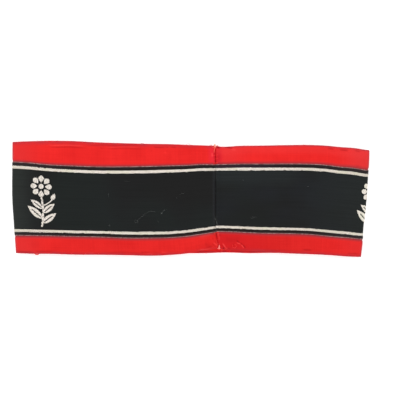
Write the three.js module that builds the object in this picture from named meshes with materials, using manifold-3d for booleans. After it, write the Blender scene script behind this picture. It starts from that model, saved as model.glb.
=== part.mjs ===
// A sewn cloth armband lying flat with its seam up: a red cotton band, hemmed along both long edges and
// closed to a loop by one seam, and a black woven band sewn round the outside of it.
// Millimetres, +Z up. X runs along the flattened loop, Y across the band, and the loop lies on Z = 0.

import * as THREE from 'three';
import { mergeVertices } from 'three/addons/utils/BufferGeometryUtils.js';
import Module from 'manifold-3d';

const wasm = await Module();
wasm.setup();

// Walls, hems, the woven band's bed in the base band, and the seam

const cloth = { baseWall: 1.1, wovenWall: 1.0, gap: 0.3 };
const hem = { depth: 7.0, inner: 0.15 };
const jog = { start: 0.4, run: 3.0, inset: 0.2 };
const seam = { allowance: 9.0, halfStem: 1.1, notch: 0.4, roll: 0.8, rollReach: 2.0, edgeClear: 1.8 };
const wovenEnd = 0.2;
const wovenEdge = 0.35;

// Depths into the wall, counted from the outermost face of the loop

const depths = {
  underWoven: cloth.wovenWall + cloth.gap,
  hemFlap: cloth.baseWall + cloth.gap,
};
depths.baseInside = depths.underWoven + cloth.baseWall;
depths.hemInside = depths.hemFlap + cloth.baseWall;
depths.allowance = depths.hemInside + cloth.gap;
depths.allowanceInside = depths.allowance + cloth.baseWall;

// The folds at both ends of the flattened loop, and the seam between them on its upper half

const foldRadius = 3.0;
const foldRise = THREE.MathUtils.degToRad(14);
const lineX = { left: -121.0, seam: 17.1, right: 119.4 };

// How both folds and the seam slant: their X at a share of the way from the top edge to the bottom edge
const slantLines = table(['across', 'left', 'seam', 'right'], [
  [0.00, -121.4, 16.7, 121.9],
  [0.12, -121.4, 16.9, 121.6],
  [0.25, -121.4, 16.9, 120.8],
  [0.50, -121.4, 17.0, 119.5],
  [0.75, -120.2, 17.6, 117.5],
  [0.88, -119.6, 18.1, 117.1],
  [1.00, -119.0, 19.1, 116.1],
]);

// The Y of the band's edges, and the height of its face, at sections along X
const edgeColumns = ['x', 'topEdge', 'wovenTop', 'wovenBottom', 'bottomEdge', 'height'];

const leftPanel = table(edgeColumns, [
  [-118.7, 38.7, 25.0, -24.9, -37.1, 5.9],
  [-109.0, 39.0, 24.3, -25.0, -37.4, 8.4],
  [-96.0, 39.3, 23.0, -25.2, -37.5, 9.9],
  [-80.0, 39.1, 22.2, -25.6, -38.0, 10.3],
  [-62.0, 38.2, 21.6, -26.0, -38.1, 10.0],
  [-44.0, 37.6, 21.6, -26.7, -38.4, 10.3],
  [-28.0, 37.2, 21.9, -26.7, -38.7, 10.1],
  [-13.0, 37.0, 22.3, -26.3, -38.0, 10.2],
  [-2.0, 36.5, 22.6, -25.3, -36.8, 10.6],
  [7.0, 36.2, 23.1, -24.0, -35.0, 11.1],
  [lineX.seam, 35.8, 23.07, -22.2, -33.8, 11.4],
]);

const rightPanel = table(edgeColumns, [
  [lineX.seam, 35.8, 23.07, -22.2, -33.8, 11.4],
  [22.0, 35.2, 23.2, -22.2, -34.5, 11.2],
  [33.0, 35.8, 23.5, -22.7, -35.0, 10.6],
  [48.0, 36.0, 23.5, -23.4, -35.9, 10.2],
  [62.0, 36.3, 23.6, -23.6, -36.9, 10.1],
  [80.0, 36.4, 23.4, -24.1, -37.6, 10.3],
  [90.0, 36.0, 22.8, -25.0, -38.0, 10.1],
  [99.0, 35.1, 21.6, -25.8, -38.5, 9.7],
  [109.0, 34.4, 20.7, -26.6, -39.3, 8.3],
  [117.1, 33.2, 19.4, -27.5, -39.6, 5.9],
]);

const lowerHalf = table(edgeColumns, [
  [-118.0, 38.6, 24.9, -24.9, -37.1, 0],
  [-90.0, 38.0, 24.0, -25.0, -37.2, 0],
  [-45.0, 36.8, 22.8, -25.2, -37.3, 0],
  [0.0, 35.6, 21.6, -25.0, -37.2, 0],
  [12.0, 35.3, 21.4, -24.7, -37.1, 0],
  [25.0, 35.0, 21.2, -24.5, -36.7, 0],
  [40.0, 34.9, 21.1, -24.6, -37.1, 0],
  [60.0, 34.9, 21.1, -24.9, -37.0, 0],
  [95.0, 34.2, 20.6, -26.0, -38.0, 0],
  [116.4, 32.9, 19.3, -27.6, -39.6, 0],
]);

// How finely the walls are faceted

const facets = { fold: 8, edge: 4, leftPanel: 15, rightPanel: 12, lower: 13, woven: 4 };
const besideSeam = [0.45, 0.9, 2.0];
const slopeStep = 0.5;
const mergeWithin = 1e-4;

// Tables as smooth curves

function table(columns, rows) {
  const positions = rows.map((row) => row[0]);
  const values = rows.flatMap((row) => row.slice(1));
  const curve = new THREE.CubicInterpolant(positions, values, columns.length - 1);
  return (position) => {
    const found = curve.evaluate(position);
    return Object.fromEntries(columns.slice(1).map((name, k) => [name, found[k]]));
  };
}

function evenStops(from, to, count) {
  return Array.from({ length: count + 1 }, (_, k) => THREE.MathUtils.lerp(from, to, k / count));
}

// A station is one place along the loop: a point of the outermost face in the X-Z plane, the direction
// into the wall, the band's edges there, and how far the outer face rolls in towards the seam

function upperStation(x) {
  const edges = upperEdges(x);
  const slope = (upperEdges(x + slopeStep).height - upperEdges(x - slopeStep).height) / (2 * slopeStep);
  const length = Math.hypot(1, slope);
  const fromSeam = Math.min(1, Math.abs(x - lineX.seam) / seam.rollReach);
  return {
    ...edges,
    half: 'upper',
    x,
    z: edges.height,
    inwardX: slope / length,
    inwardZ: -1 / length,
    roll: seam.roll * (1 - fromSeam) ** 2,
  };
}

function upperEdges(x) {
  return x < lineX.seam ? leftPanel(x) : rightPanel(x);
}

function lowerStation(x) {
  return { ...lowerHalf(x), half: 'lower', x, z: 0, inwardX: 0, inwardZ: 1, roll: 0 };
}

function foldStations(centreX, fromAngle, toAngle) {
  return evenStops(fromAngle, toAngle, facets.fold).map((angle) => {
    const half = Math.sin(angle) > 0 ? 'upper' : 'lower';
    const edges = half === 'upper' ? upperEdges(centreX) : lowerHalf(centreX);
    return {
      ...edges,
      half,
      x: centreX + foldRadius * Math.cos(angle),
      z: foldRadius + foldRadius * Math.sin(angle),
      inwardX: -Math.cos(angle),
      inwardZ: -Math.sin(angle),
      roll: 0,
    };
  });
}

// Once round the loop: the left panel outwards from the seam, the left fold, the lower half, the right
// fold, and the right panel back to the seam
function loopStations() {
  const leftCentre = lineX.left + foldRadius;
  const rightCentre = lineX.right - foldRadius;
  const topOfFold = foldRadius * Math.sin(foldRise);
  const reach = besideSeam.at(-1);
  const leftStops = [
    ...besideSeam.map((step) => lineX.seam - step),
    ...evenStops(lineX.seam - reach, leftCentre - topOfFold, facets.leftPanel).slice(1, -1),
  ];
  const rightStops = [
    ...evenStops(rightCentre + topOfFold, lineX.seam + reach, facets.rightPanel).slice(1, -1),
    ...besideSeam.map((step) => lineX.seam + step).reverse(),
  ];
  return [
    ...leftStops.map(upperStation),
    ...foldStations(leftCentre, Math.PI / 2 + foldRise, Math.PI * 1.5),
    ...evenStops(leftCentre, rightCentre, facets.lower).slice(1, -1).map(lowerStation),
    ...foldStations(rightCentre, -Math.PI / 2, Math.PI / 2 - foldRise),
    ...rightStops.map(upperStation),
  ];
}

// The point at a depth into the wall, y across the band, with the folds and the seam slanted

function place(station, y, depth) {
  const across = (station.topEdge - y) / (station.topEdge - station.bottomEdge);
  const slanted = slantLines(across);
  const x = station.x + depth * station.inwardX;
  let span = ['seam', 'right'];
  if (station.half === 'lower') span = ['left', 'right'];
  else if (x < lineX.seam) span = ['left', 'seam'];
  const [from, to] = span;
  const slantedX = THREE.MathUtils.mapLinear(x, lineX[from], lineX[to], slanted[from], slanted[to]);
  return new THREE.Vector3(slantedX, y, station.z + depth * station.inwardZ);
}

// Sections across the band, as [y, depth] points, out along the outer face and back along the inner one

function hemFold(centreY, fromAngle) {
  const radius = depths.hemInside / 2;
  return evenStops(fromAngle, fromAngle + Math.PI, facets.edge).map((angle) => [
    centreY + radius * Math.cos(angle),
    radius + radius * Math.sin(angle),
  ]);
}

function hemCrease(centreY, turn) {
  return [
    [centreY, depths.hemFlap],
    [centreY + turn * hem.inner, depths.hemInside / 2],
    [centreY, cloth.baseWall],
  ];
}

function baseSection(station) {
  const { topEdge, wovenTop, wovenBottom, bottomEdge, roll } = station;
  const topCentre = topEdge - depths.hemInside / 2;
  const bottomCentre = bottomEdge + depths.hemInside / 2;
  const across = evenStops(wovenBottom - jog.start, wovenTop + jog.start, facets.woven);
  const inner = { start: jog.start + jog.inset, end: jog.start + jog.run + jog.inset };
  const innerAcross = evenStops(wovenTop + inner.start, wovenBottom - inner.start, facets.woven);
  return [
    ...hemFold(bottomCentre, Math.PI / 2),
    [wovenBottom - jog.start - jog.run, roll],
    ...across.map((y) => [y, depths.underWoven]),
    [wovenTop + jog.start + jog.run, roll],
    ...hemFold(topCentre, -Math.PI / 2),
    [topEdge - hem.depth, depths.hemInside],
    [topEdge - hem.depth, depths.hemFlap],
    ...hemCrease(topCentre, 1),
    [wovenTop + inner.end, cloth.baseWall],
    ...innerAcross.map((y) => [y, depths.baseInside]),
    [wovenBottom - inner.end, cloth.baseWall],
    ...hemCrease(bottomCentre, -1).reverse(),
    [bottomEdge + hem.depth, depths.hemFlap],
    [bottomEdge + hem.depth, depths.hemInside],
  ];
}

function wovenSection(station) {
  const { wovenTop, wovenBottom, roll } = station;
  const across = evenStops(wovenBottom + wovenEdge, wovenTop - wovenEdge, facets.woven);
  const back = evenStops(wovenTop, wovenBottom, facets.woven);
  return [
    [wovenBottom, Math.max(wovenEdge, roll)],
    ...across.map((y) => [y, roll]),
    [wovenTop, Math.max(wovenEdge, roll)],
    ...back.map((y) => [y, cloth.wovenWall]),
  ];
}

// A closed skin over rings of points: joined end to end, or closed by a cap on the first and the last ring

function skin(rings, flat, joined) {
  const size = rings[0].length;
  const positions = rings.flat().flatMap((point) => point.toArray());
  const faces = [];
  const last = joined ? rings.length : rings.length - 1;
  for (let ring = 0; ring < last; ring += 1) {
    const here = ring * size;
    const next = ((ring + 1) % rings.length) * size;
    for (let k = 0; k < size; k += 1) {
      const after = (k + 1) % size;
      faces.push(here + k, here + after, next + after);
      faces.push(here + k, next + after, next + k);
    }
  }
  if (!joined) {
    const end = (rings.length - 1) * size;
    for (const [a, b, c] of THREE.ShapeUtils.triangulateShape(flat, [])) {
      faces.push(a, c, b);
      faces.push(end + a, end + b, end + c);
    }
  }
  const geometry = new THREE.BufferGeometry();
  geometry.setAttribute('position', new THREE.Float32BufferAttribute(positions, 3));
  geometry.setIndex(faces);
  return geometry;
}

function sweep(stations, section, joined) {
  const rings = stations.map((station) => section(station).map(([y, depth]) => place(station, y, depth)));
  const flat = section(stations[0]).map(([y, depth]) => new THREE.Vector2(y, depth));
  return skin(rings, flat, joined);
}

// The base band's turned-in ends: a stem down from the seam, and the two allowances pressed apart below it

function seamFold() {
  const middle = upperStation(lineX.seam);
  const { topEdge, wovenTop, wovenBottom, bottomEdge } = middle;
  const borderTop = seam.roll + (cloth.baseWall - seam.roll) / 2;
  const wovenMid = depths.underWoven + cloth.baseWall / 2;
  const stops = [
    [bottomEdge + seam.edgeClear, borderTop],
    [wovenBottom - jog.start - jog.run, borderTop],
    [wovenBottom - jog.start, wovenMid],
    [(wovenBottom + wovenTop) / 2, wovenMid],
    [wovenTop + jog.start, wovenMid],
    [wovenTop + jog.start + jog.run, borderTop],
    [topEdge - seam.edgeClear, borderTop],
  ];
  const half = seam.allowance / 2;
  const outline = (top) => [
    [-seam.halfStem, top],
    [seam.halfStem, top],
    [seam.halfStem, depths.allowance],
    [half, depths.allowance],
    [seam.allowance, depths.allowance],
    [seam.allowance, depths.allowanceInside],
    [half, depths.allowanceInside],
    [seam.notch, depths.allowanceInside],
    [0, depths.allowanceInside - seam.notch],
    [-seam.notch, depths.allowanceInside],
    [-half, depths.allowanceInside],
    [-seam.allowance, depths.allowanceInside],
    [-seam.allowance, depths.allowance],
    [-half, depths.allowance],
    [-seam.halfStem, depths.allowance],
  ];
  const rings = stops.map(([middleY, top]) => {
    const share = (topEdge - middleY) / (topEdge - bottomEdge);
    return outline(top).map(([offset, depth]) => {
      const station = upperStation(lineX.seam + offset);
      return place(station, THREE.MathUtils.lerp(station.topEdge, station.bottomEdge, share), depth);
    });
  });
  const flat = outline(stops[0][1]).map(([offset, depth]) => new THREE.Vector2(offset, depth));
  return skin(rings, flat, false);
}

// Joining closed pieces

function toSolid(geometry) {
  const merged = mergeVertices(geometry, mergeWithin);
  return new wasm.Manifold(new wasm.Mesh({
    numProp: 3,
    vertProperties: new Float32Array(merged.attributes.position.array),
    triVerts: new Uint32Array(merged.index.array),
  }));
}

function fromSolid(solid) {
  const mesh = solid.getMesh();
  const geometry = new THREE.BufferGeometry();
  geometry.setAttribute('position', new THREE.BufferAttribute(mesh.vertProperties, 3));
  geometry.setIndex(new THREE.BufferAttribute(mesh.triVerts, 1));
  return geometry;
}

// The two pieces

function namedMesh(name, geometry, material) {
  geometry.computeVertexNormals();
  const mesh = new THREE.Mesh(geometry, material);
  mesh.name = name;
  return mesh;
}

function baseBand() {
  const stations = [upperStation(lineX.seam), ...loopStations()];
  const loop = toSolid(sweep(stations, baseSection, true));
  const redCotton = new THREE.MeshStandardMaterial({ color: 0xe0302c, roughness: 0.85, metalness: 0 });
  return namedMesh('base_band', fromSolid(loop.add(toSolid(seamFold()))), redCotton);
}

function wovenBand() {
  const stations = [
    upperStation(lineX.seam - wovenEnd),
    ...loopStations(),
    upperStation(lineX.seam + wovenEnd),
  ];
  const blackWeave = new THREE.MeshStandardMaterial({ color: 0x242626, roughness: 0.7, metalness: 0 });
  return namedMesh('woven_band', sweep(stations, wovenSection, false), blackWeave);
}

const armband = new THREE.Group();
armband.add(baseBand(), wovenBand());

export default armband;
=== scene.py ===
# A sewn cloth armband lying flat with its seam up: a red cotton band hemmed along both long edges, and a
# black woven band with two cream stripes and cream flower sprigs sewn round the outside of it.

import math

import bpy
import numpy as np
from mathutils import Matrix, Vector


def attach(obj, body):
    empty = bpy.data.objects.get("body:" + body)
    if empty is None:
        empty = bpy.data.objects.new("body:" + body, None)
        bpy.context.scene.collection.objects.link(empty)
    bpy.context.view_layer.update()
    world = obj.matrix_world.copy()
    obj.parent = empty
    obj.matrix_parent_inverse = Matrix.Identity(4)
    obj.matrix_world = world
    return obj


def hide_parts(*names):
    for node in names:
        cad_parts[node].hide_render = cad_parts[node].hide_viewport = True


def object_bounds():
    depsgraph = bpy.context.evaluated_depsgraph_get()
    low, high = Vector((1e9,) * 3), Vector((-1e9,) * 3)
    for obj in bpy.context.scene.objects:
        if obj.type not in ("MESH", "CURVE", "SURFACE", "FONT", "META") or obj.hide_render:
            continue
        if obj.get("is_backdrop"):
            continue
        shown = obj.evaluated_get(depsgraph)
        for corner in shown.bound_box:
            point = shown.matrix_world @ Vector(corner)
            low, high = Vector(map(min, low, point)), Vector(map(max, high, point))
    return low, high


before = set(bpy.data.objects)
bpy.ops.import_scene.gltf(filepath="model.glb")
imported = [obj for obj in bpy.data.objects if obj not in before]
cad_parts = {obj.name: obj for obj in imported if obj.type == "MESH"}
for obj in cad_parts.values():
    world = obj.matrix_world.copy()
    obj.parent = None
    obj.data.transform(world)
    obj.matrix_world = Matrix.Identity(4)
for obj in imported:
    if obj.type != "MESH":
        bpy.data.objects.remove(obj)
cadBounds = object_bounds()

mm = 0.001
rng = np.random.default_rng(41)


# The loop's own sizes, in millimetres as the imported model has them

loop = {
    "leftX": -121.0,
    "seamX": 17.1,
    "rightX": 119.4,
    "foldRadius": 3.0,
    "foldRise": 14.0,  # degrees of each fold past upright, up to where the panel starts
    "halfWidth": 38.0,  # from the middle of the cloth to a hemmed edge
    "halfWoven": 24.0,  # from the middle of the cloth to the woven band's edge
    "seamTurn": 1.3,  # how far down the cloth turns at the seam
    "seamTurnWide": 1.15,
    "allowance": 9.0,
    "allowanceTuck": 0.9,  # how far the allowances stay inside the edges
    "tuckReach": 4.0,
    "foldBlend": (-0.6, 0.9),  # heights on a fold, in radii, between which it takes up the upper edges
    "slopeStep": 0.5,
    "pathStep": 0.2,
    "foldStops": 60,
    "allowanceStops": 46,
    "turnStops": 50,
}

# Both folds and the seam slant: their X at a share of the way from the top edge to the bottom edge
slantColumns = ["across", "left", "seam", "right"]
slantRows = [
    [0.00, -121.4, 16.7, 121.9],
    [0.12, -121.4, 16.9, 121.6],
    [0.25, -121.4, 16.9, 120.8],
    [0.50, -121.4, 17.0, 119.5],
    [0.75, -120.2, 17.6, 117.5],
    [0.88, -119.6, 18.1, 117.1],
    [1.00, -119.0, 19.1, 116.1],
]

# The Y of the edges and the height of the face, at sections along X
edgeColumns = ["x", "top", "wovenTop", "wovenBottom", "bottom", "height"]
leftPanelRows = [
    [-118.7, 38.7, 25.0, -24.9, -37.1, 5.9],
    [-109.0, 39.0, 24.3, -25.0, -37.4, 8.4],
    [-96.0, 39.3, 23.0, -25.2, -37.5, 9.9],
    [-80.0, 39.1, 22.2, -25.6, -38.0, 10.3],
    [-62.0, 38.2, 21.6, -26.0, -38.1, 10.0],
    [-44.0, 37.6, 21.6, -26.7, -38.4, 10.3],
    [-28.0, 37.2, 21.9, -26.7, -38.7, 10.1],
    [-13.0, 37.0, 22.3, -26.3, -38.0, 10.2],
    [-2.0, 36.5, 22.6, -25.3, -36.8, 10.6],
    [7.0, 36.2, 23.1, -24.0, -35.0, 11.1],
    [loop["seamX"], 35.8, 23.07, -22.5, -33.8, 11.4],
]
rightPanelRows = [
    [loop["seamX"], 35.8, 23.07, -22.2, -33.8, 11.4],
    [22.0, 35.2, 23.2, -22.2, -34.5, 11.2],
    [33.0, 35.8, 23.5, -22.7, -35.0, 10.6],
    [48.0, 36.0, 23.5, -23.4, -35.9, 10.2],
    [62.0, 36.3, 23.6, -23.6, -36.9, 10.1],
    [80.0, 36.4, 23.4, -24.1, -37.6, 10.3],
    [90.0, 36.0, 22.8, -25.0, -38.0, 10.1],
    [99.0, 35.1, 21.6, -25.8, -38.5, 9.7],
    [109.0, 34.4, 20.7, -26.6, -39.3, 8.3],
    [117.1, 33.2, 19.4, -27.5, -39.6, 5.9],
]
lowerRows = [
    [-118.0, 38.6, 24.9, -24.9, -37.1, 0],
    [-90.0, 38.0, 24.0, -25.0, -37.2, 0],
    [-45.0, 36.8, 22.8, -25.2, -37.3, 0],
    [0.0, 35.6, 21.6, -25.0, -37.2, 0],
    [12.0, 35.3, 21.4, -24.7, -37.1, 0],
    [25.0, 35.0, 21.2, -24.5, -36.7, 0],
    [40.0, 34.9, 21.1, -24.6, -37.1, 0],
    [60.0, 34.9, 21.1, -24.9, -37.0, 0],
    [95.0, 34.2, 20.6, -26.0, -38.0, 0],
    [116.4, 32.9, 19.3, -27.6, -39.6, 0],
]

# How far the seam line wanders from its slant, by Y on the upper half
seamWanderRows = [
    [-34.0, 0.0],
    [-31.5, 0.1],
    [-29.0, -0.4],
    [-25.4, -0.5],
    [-23.0, -0.65],
    [-18.0, -0.6],
    [-13.0, -0.48],
    [-8.0, -0.33],
    [-3.0, -0.12],
    [10.0, 0.0],
    [36.0, 0.0],
]


# Smooth curves through a table's columns, level past its ends

def smoothCurve(places, values):
    places = np.array(places, float)
    values = np.array(values, float)
    slopes = np.diff(values) / np.diff(places)
    tangents = np.concatenate([slopes[:1], (slopes[1:] + slopes[:-1]) / 2, slopes[-1:]])

    def curve(at):
        at = np.clip(at, places[0], places[-1])
        k = np.clip(np.searchsorted(places, at, side="right") - 1, 0, len(places) - 2)
        width = places[k + 1] - places[k]
        t = (at - places[k]) / width
        rise = values[k + 1] - values[k]
        fromStart = values[k] + t * t * (3 - 2 * t) * rise
        return fromStart + width * t * (1 - t) * ((1 - t) * tangents[k] - t * tangents[k + 1])

    return curve


def tableCurves(columns, rows):
    places = [row[0] for row in rows]
    return {name: smoothCurve(places, [row[k + 1] for row in rows]) for k, name in enumerate(columns[1:])}


def smoothStep(low, high, value):
    t = np.clip((value - low) / (high - low), 0, 1)
    return t * t * (3 - 2 * t)


slant = tableCurves(slantColumns, slantRows)
leftPanel = tableCurves(edgeColumns, leftPanelRows)
rightPanel = tableCurves(edgeColumns, rightPanelRows)
lowerHalf = tableCurves(edgeColumns, lowerRows)
seamWander = smoothCurve([row[0] for row in seamWanderRows], [row[1] for row in seamWanderRows])
edgeNames = ["top", "wovenTop", "wovenBottom", "bottom"]
upperLeft, lower, upperRight = 0, 1, 2


# The way once round the loop, from one seam allowance to the other. Each row is a point of the outermost
# face, the direction into the cloth, the four edges and the side of the loop.

def wayRows(x, z, inX, inZ, edges, side):
    columns = [x, z, inX, inZ] + [edges[name] for name in edgeNames] + [side]
    return np.stack([np.broadcast_to(np.asarray(c, float), x.shape) for c in columns], 1)


def edgesAt(curves, x):
    return {name: curves[name](x) for name in edgeNames}


def pathStops(fromX, toX):
    return np.linspace(fromX, toX, int(abs(toX - fromX) / loop["pathStep"]))


def panelWay(fromX, toX, curves, side):
    x = pathStops(fromX, toX)
    step = loop["slopeStep"]
    slope = (curves["height"](x + step) - curves["height"](x - step)) / (2 * step)
    length = np.hypot(1, slope)
    return wayRows(x, curves["height"](x), slope / length, -1 / length, edgesAt(curves, x), side)


def lowerWay(fromX, toX):
    x = pathStops(fromX, toX)
    return wayRows(x, 0, 0, 1, edgesAt(lowerHalf, x), lower)


def foldWay(centreX, fromAngle, toAngle, panel, side):
    angle = np.radians(np.linspace(fromAngle, toAngle, loop["foldStops"]))
    radius = loop["foldRadius"]
    x = centreX + radius * np.cos(angle)
    z = radius + radius * np.sin(angle)
    towardsUpper = smoothStep(*loop["foldBlend"], np.sin(angle))
    above = edgesAt(panel, x)
    below = edgesAt(lowerHalf, x)
    edges = {name: below[name] + towardsUpper * (above[name] - below[name]) for name in edgeNames}
    sides = np.where(np.sin(angle) > 0, side, lower)
    return wayRows(x, z, -np.cos(angle), -np.sin(angle), edges, sides)


def seamWay(panel, side, hand):
    # the allowance and the turn of one end; hand is 1 where the cloth comes from the left
    wide, deep = loop["seamTurnWide"], loop["seamTurn"]
    centreX = loop["seamX"] - hand * wide
    x = np.linspace(centreX - hand * loop["allowance"], centreX, loop["allowanceStops"])
    edges = edgesAt(panel, x)
    tuck = loop["allowanceTuck"] * smoothStep(0, loop["tuckReach"], np.abs(x - centreX))
    edges["top"] = edges["top"] - tuck
    edges["bottom"] = edges["bottom"] + tuck
    under = wayRows(x, panel["height"](x) - 2 * deep, 0, 1, edges, side)
    angle = np.radians(np.linspace(-90, 90, loop["turnStops"]))
    turnX = centreX + hand * wide * np.cos(angle)
    height = panel["height"](centreX)
    turnZ = height - deep + deep * np.sin(angle)
    inX = -hand * wide / deep * np.cos(angle)
    turn = wayRows(turnX, turnZ, inX, -np.sin(angle), edgesAt(panel, turnX), side)
    return under, turn, centreX


def buildWay():
    leftUnder, leftTurn, leftStart = seamWay(leftPanel, upperLeft, 1)
    rightUnder, rightTurn, rightStart = seamWay(rightPanel, upperRight, -1)
    radius = loop["foldRadius"]
    leftCentre = loop["leftX"] + radius
    rightCentre = loop["rightX"] - radius
    rise = radius * math.sin(math.radians(loop["foldRise"]))
    stretches = {
        "leftAllowance": leftUnder,
        "leftTurn": leftTurn,
        "leftPanel": panelWay(leftStart, leftCentre - rise, leftPanel, upperLeft),
        "leftFold": foldWay(leftCentre, 90 + loop["foldRise"], 270, leftPanel, upperLeft),
        "lower": lowerWay(leftCentre, rightCentre),
        "rightFold": foldWay(rightCentre, -90, 90 - loop["foldRise"], rightPanel, upperRight),
        "rightPanel": panelWay(rightCentre + rise, rightStart, rightPanel, upperRight),
        "rightTurn": rightTurn[::-1],
        "rightAllowance": rightUnder[::-1],
    }
    rows, marks = [], {}
    length = 0.0
    last = None
    for name, stretch in stretches.items():
        if last is not None:
            stretch = stretch[1:]
            steps = np.hypot(*(stretch[:, :2] - np.vstack([last, stretch[:-1, :2]])).T)
            along = length + np.cumsum(steps)
        else:
            steps = np.hypot(*np.diff(stretch[:, :2], axis=0).T)
            along = np.concatenate([[0.0], np.cumsum(steps)])
        marks[name] = (length, along[-1])
        length = along[-1]
        last = stretch[-1, :2]
        rows.append(np.column_stack([along, stretch]))
    way = np.vstack(rows)
    keep = np.concatenate([[True], np.diff(way[:, 0]) > 1e-6])
    return way[keep], marks


way, marks = buildWay()


def alongAt(x, panel):
    # how far along the cloth a nominal X of the upper half lies, in leftPanel or rightPanel
    start, end = marks[panel]
    rows = way[(way[:, 0] >= start) & (way[:, 0] <= end)]
    order = np.argsort(rows[:, 1])
    return np.interp(x, rows[order, 1], rows[order, 0])


# Folds, puckers and the slight waviness of the cloth

relief = {
    "panelHeight": 0.30,
    "panelWaves": (5, 38),  # a seed and a pitch
    "edgeHeight": 0.22,
    "edgeWaves": (8, 16),
    "edgeFrom": 26,  # measured across the cloth, as are fallFrom and floatRoomOver
    "lowerHeight": 0.22,
    "lowerWaves": (11, 34),
    "waveCount": 7,
    "wavePitches": (0.7, 1.6),
    "floatRoom": 0.18,  # the woven band's floats hold it this far off what lies below
    "floatRoomOver": (26.5, 24.0),
    "seamReach": 9.0,
    "borderFall": 0.5,  # how far the red borders slope down outwards
    "fallFrom": 23,
    "edgeDroop": 0.6,  # and how much further their hemmed edges roll down
    "droopWidth": 3.4,
    "upperFade": (1.0, 6.0),  # heights over which each half's relief fades in
    "lowerFade": (3.0, 0.5),
}

crease = {
    "bend": 0.35,  # how far it wanders, as a share of its half width
    "bendPitch": 2.9,
    "start": (-0.05, 0.25),  # shares of its length over which it fades in, then out
    "end": (1.05, 0.75),
    "fullShadingHeight": 0.40,  # a crease this high or deep gets its full painted shade or highlight
}

# Grooves (below 0) and ridges of the upper half, from one end of each to the other
creaseColumns = ["fromX", "fromY", "toX", "toY", "halfWidth", "height"]
creaseRows = [
    # along the upper hem
    [-97.0, 35.1, -70.0, 34.7, 0.45, -0.16],
    [-97.0, 36.1, -70.0, 35.8, 0.50, 0.08],
    [-73.0, 36.25, -33.0, 36.0, 0.45, -0.18],
    [-58.0, 34.8, -33.0, 34.7, 0.35, 0.10],
    [-57.0, 34.2, -31.0, 33.9, 0.50, -0.14],
    [-61.5, 34.2, -58.8, 34.2, 0.45, -0.14],
    [-25.5, 34.9, -17.0, 34.8, 0.45, -0.18],
    [-16.8, 34.9, -14.6, 34.9, 0.40, -0.16],
    [-13.6, 34.9, -9.6, 34.8, 0.40, -0.18],
    [93.0, 34.0, 97.0, 33.8, 0.55, -0.20],
    [101.0, 33.2, 107.0, 32.9, 0.60, -0.22],
    [111.0, 32.7, 115.6, 32.2, 0.55, -0.18],
    # along the lower hem
    [-118.0, -35.9, -107.0, -36.2, 0.50, -0.18],
    [-106.0, -35.4, -92.0, -35.9, 0.50, -0.16],
    [-60.0, -36.3, -22.0, -36.6, 0.45, -0.12],
    [50.0, -34.9, 78.0, -35.6, 0.45, -0.10],
    [76.0, -34.6, 82.5, -34.8, 0.45, -0.18],
    [106.0, -37.0, 114.5, -37.2, 0.40, -0.16],
    # the upper end of the seam
    [16.1, 33.0, 16.6, 24.2, 0.55, -0.11],
    [14.6, 31.3, 14.9, 28.2, 0.50, 0.09],
    [17.8, 26.9, 17.2, 24.6, 0.60, -0.07],
    [17.6, 34.6, 20.0, 34.6, 0.60, -0.24],
    [23.0, 35.1, 28.6, 34.3, 0.45, -0.34],
    [27.4, 33.4, 31.0, 33.2, 0.60, 0.06],
    # the lower end of the seam
    [18.85, -22.4, 18.7, -25.2, 0.50, 0.12],
    [17.3, -28.0, 18.5, -32.0, 0.50, 0.15],
    [19.0, -24.8, 19.9, -28.4, 0.40, 0.09],
    [20.2, -23.6, 20.1, -25.8, 0.40, -0.12],
    [15.3, -26.2, 15.2, -28.0, 0.45, -0.14],
    [15.6, -29.6, 17.6, -31.6, 0.40, 0.09],
    [14.4, -30.2, 17.6, -33.0, 0.50, -0.12],
    [16.6, -28.4, 18.6, -31.4, 0.40, -0.12],
    [20.6, -30.6, 22.6, -33.0, 0.45, -0.14],
    [21.6, -30.0, 24.4, -34.0, 0.50, 0.14],
    [19.8, -34.5, 21.4, -34.4, 0.40, -0.26],
    [22.4, -32.6, 22.9, -34.9, 0.50, -0.34],
    [25.4, -33.4, 27.0, -34.2, 0.50, -0.14],
    [28.4, -31.2, 29.8, -31.0, 0.45, -0.16],
    [5.5, -34.6, 15.0, -33.7, 0.45, 0.09],
    [8.2, -33.8, 15.0, -32.0, 0.45, -0.11],
    # the little arc beside it
    [31.0, -28.4, 33.6, -30.0, 0.45, -0.26],
    [33.6, -30.0, 35.4, -31.2, 0.45, -0.30],
    [35.2, -31.0, 37.4, -33.6, 0.45, -0.32],
    [31.0, -29.6, 34.4, -30.6, 0.45, 0.18],
    [34.2, -30.6, 36.6, -33.6, 0.45, 0.22],
    # broad soft folds
    [23.0, -27.2, 34.0, -27.6, 2.20, -0.08],
    [9.0, -30.0, 15.2, -33.0, 1.40, -0.08],
    [5.0, -25.6, 15.5, -22.9, 1.60, 0.04],
    [-12.0, 6.0, 13.0, 2.0, 2.20, 0.10],
    [24.0, 8.0, 62.0, 4.0, 2.40, -0.10],
    [-70.0, -10.0, -20.0, -13.0, 3.00, 0.12],
]
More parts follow.
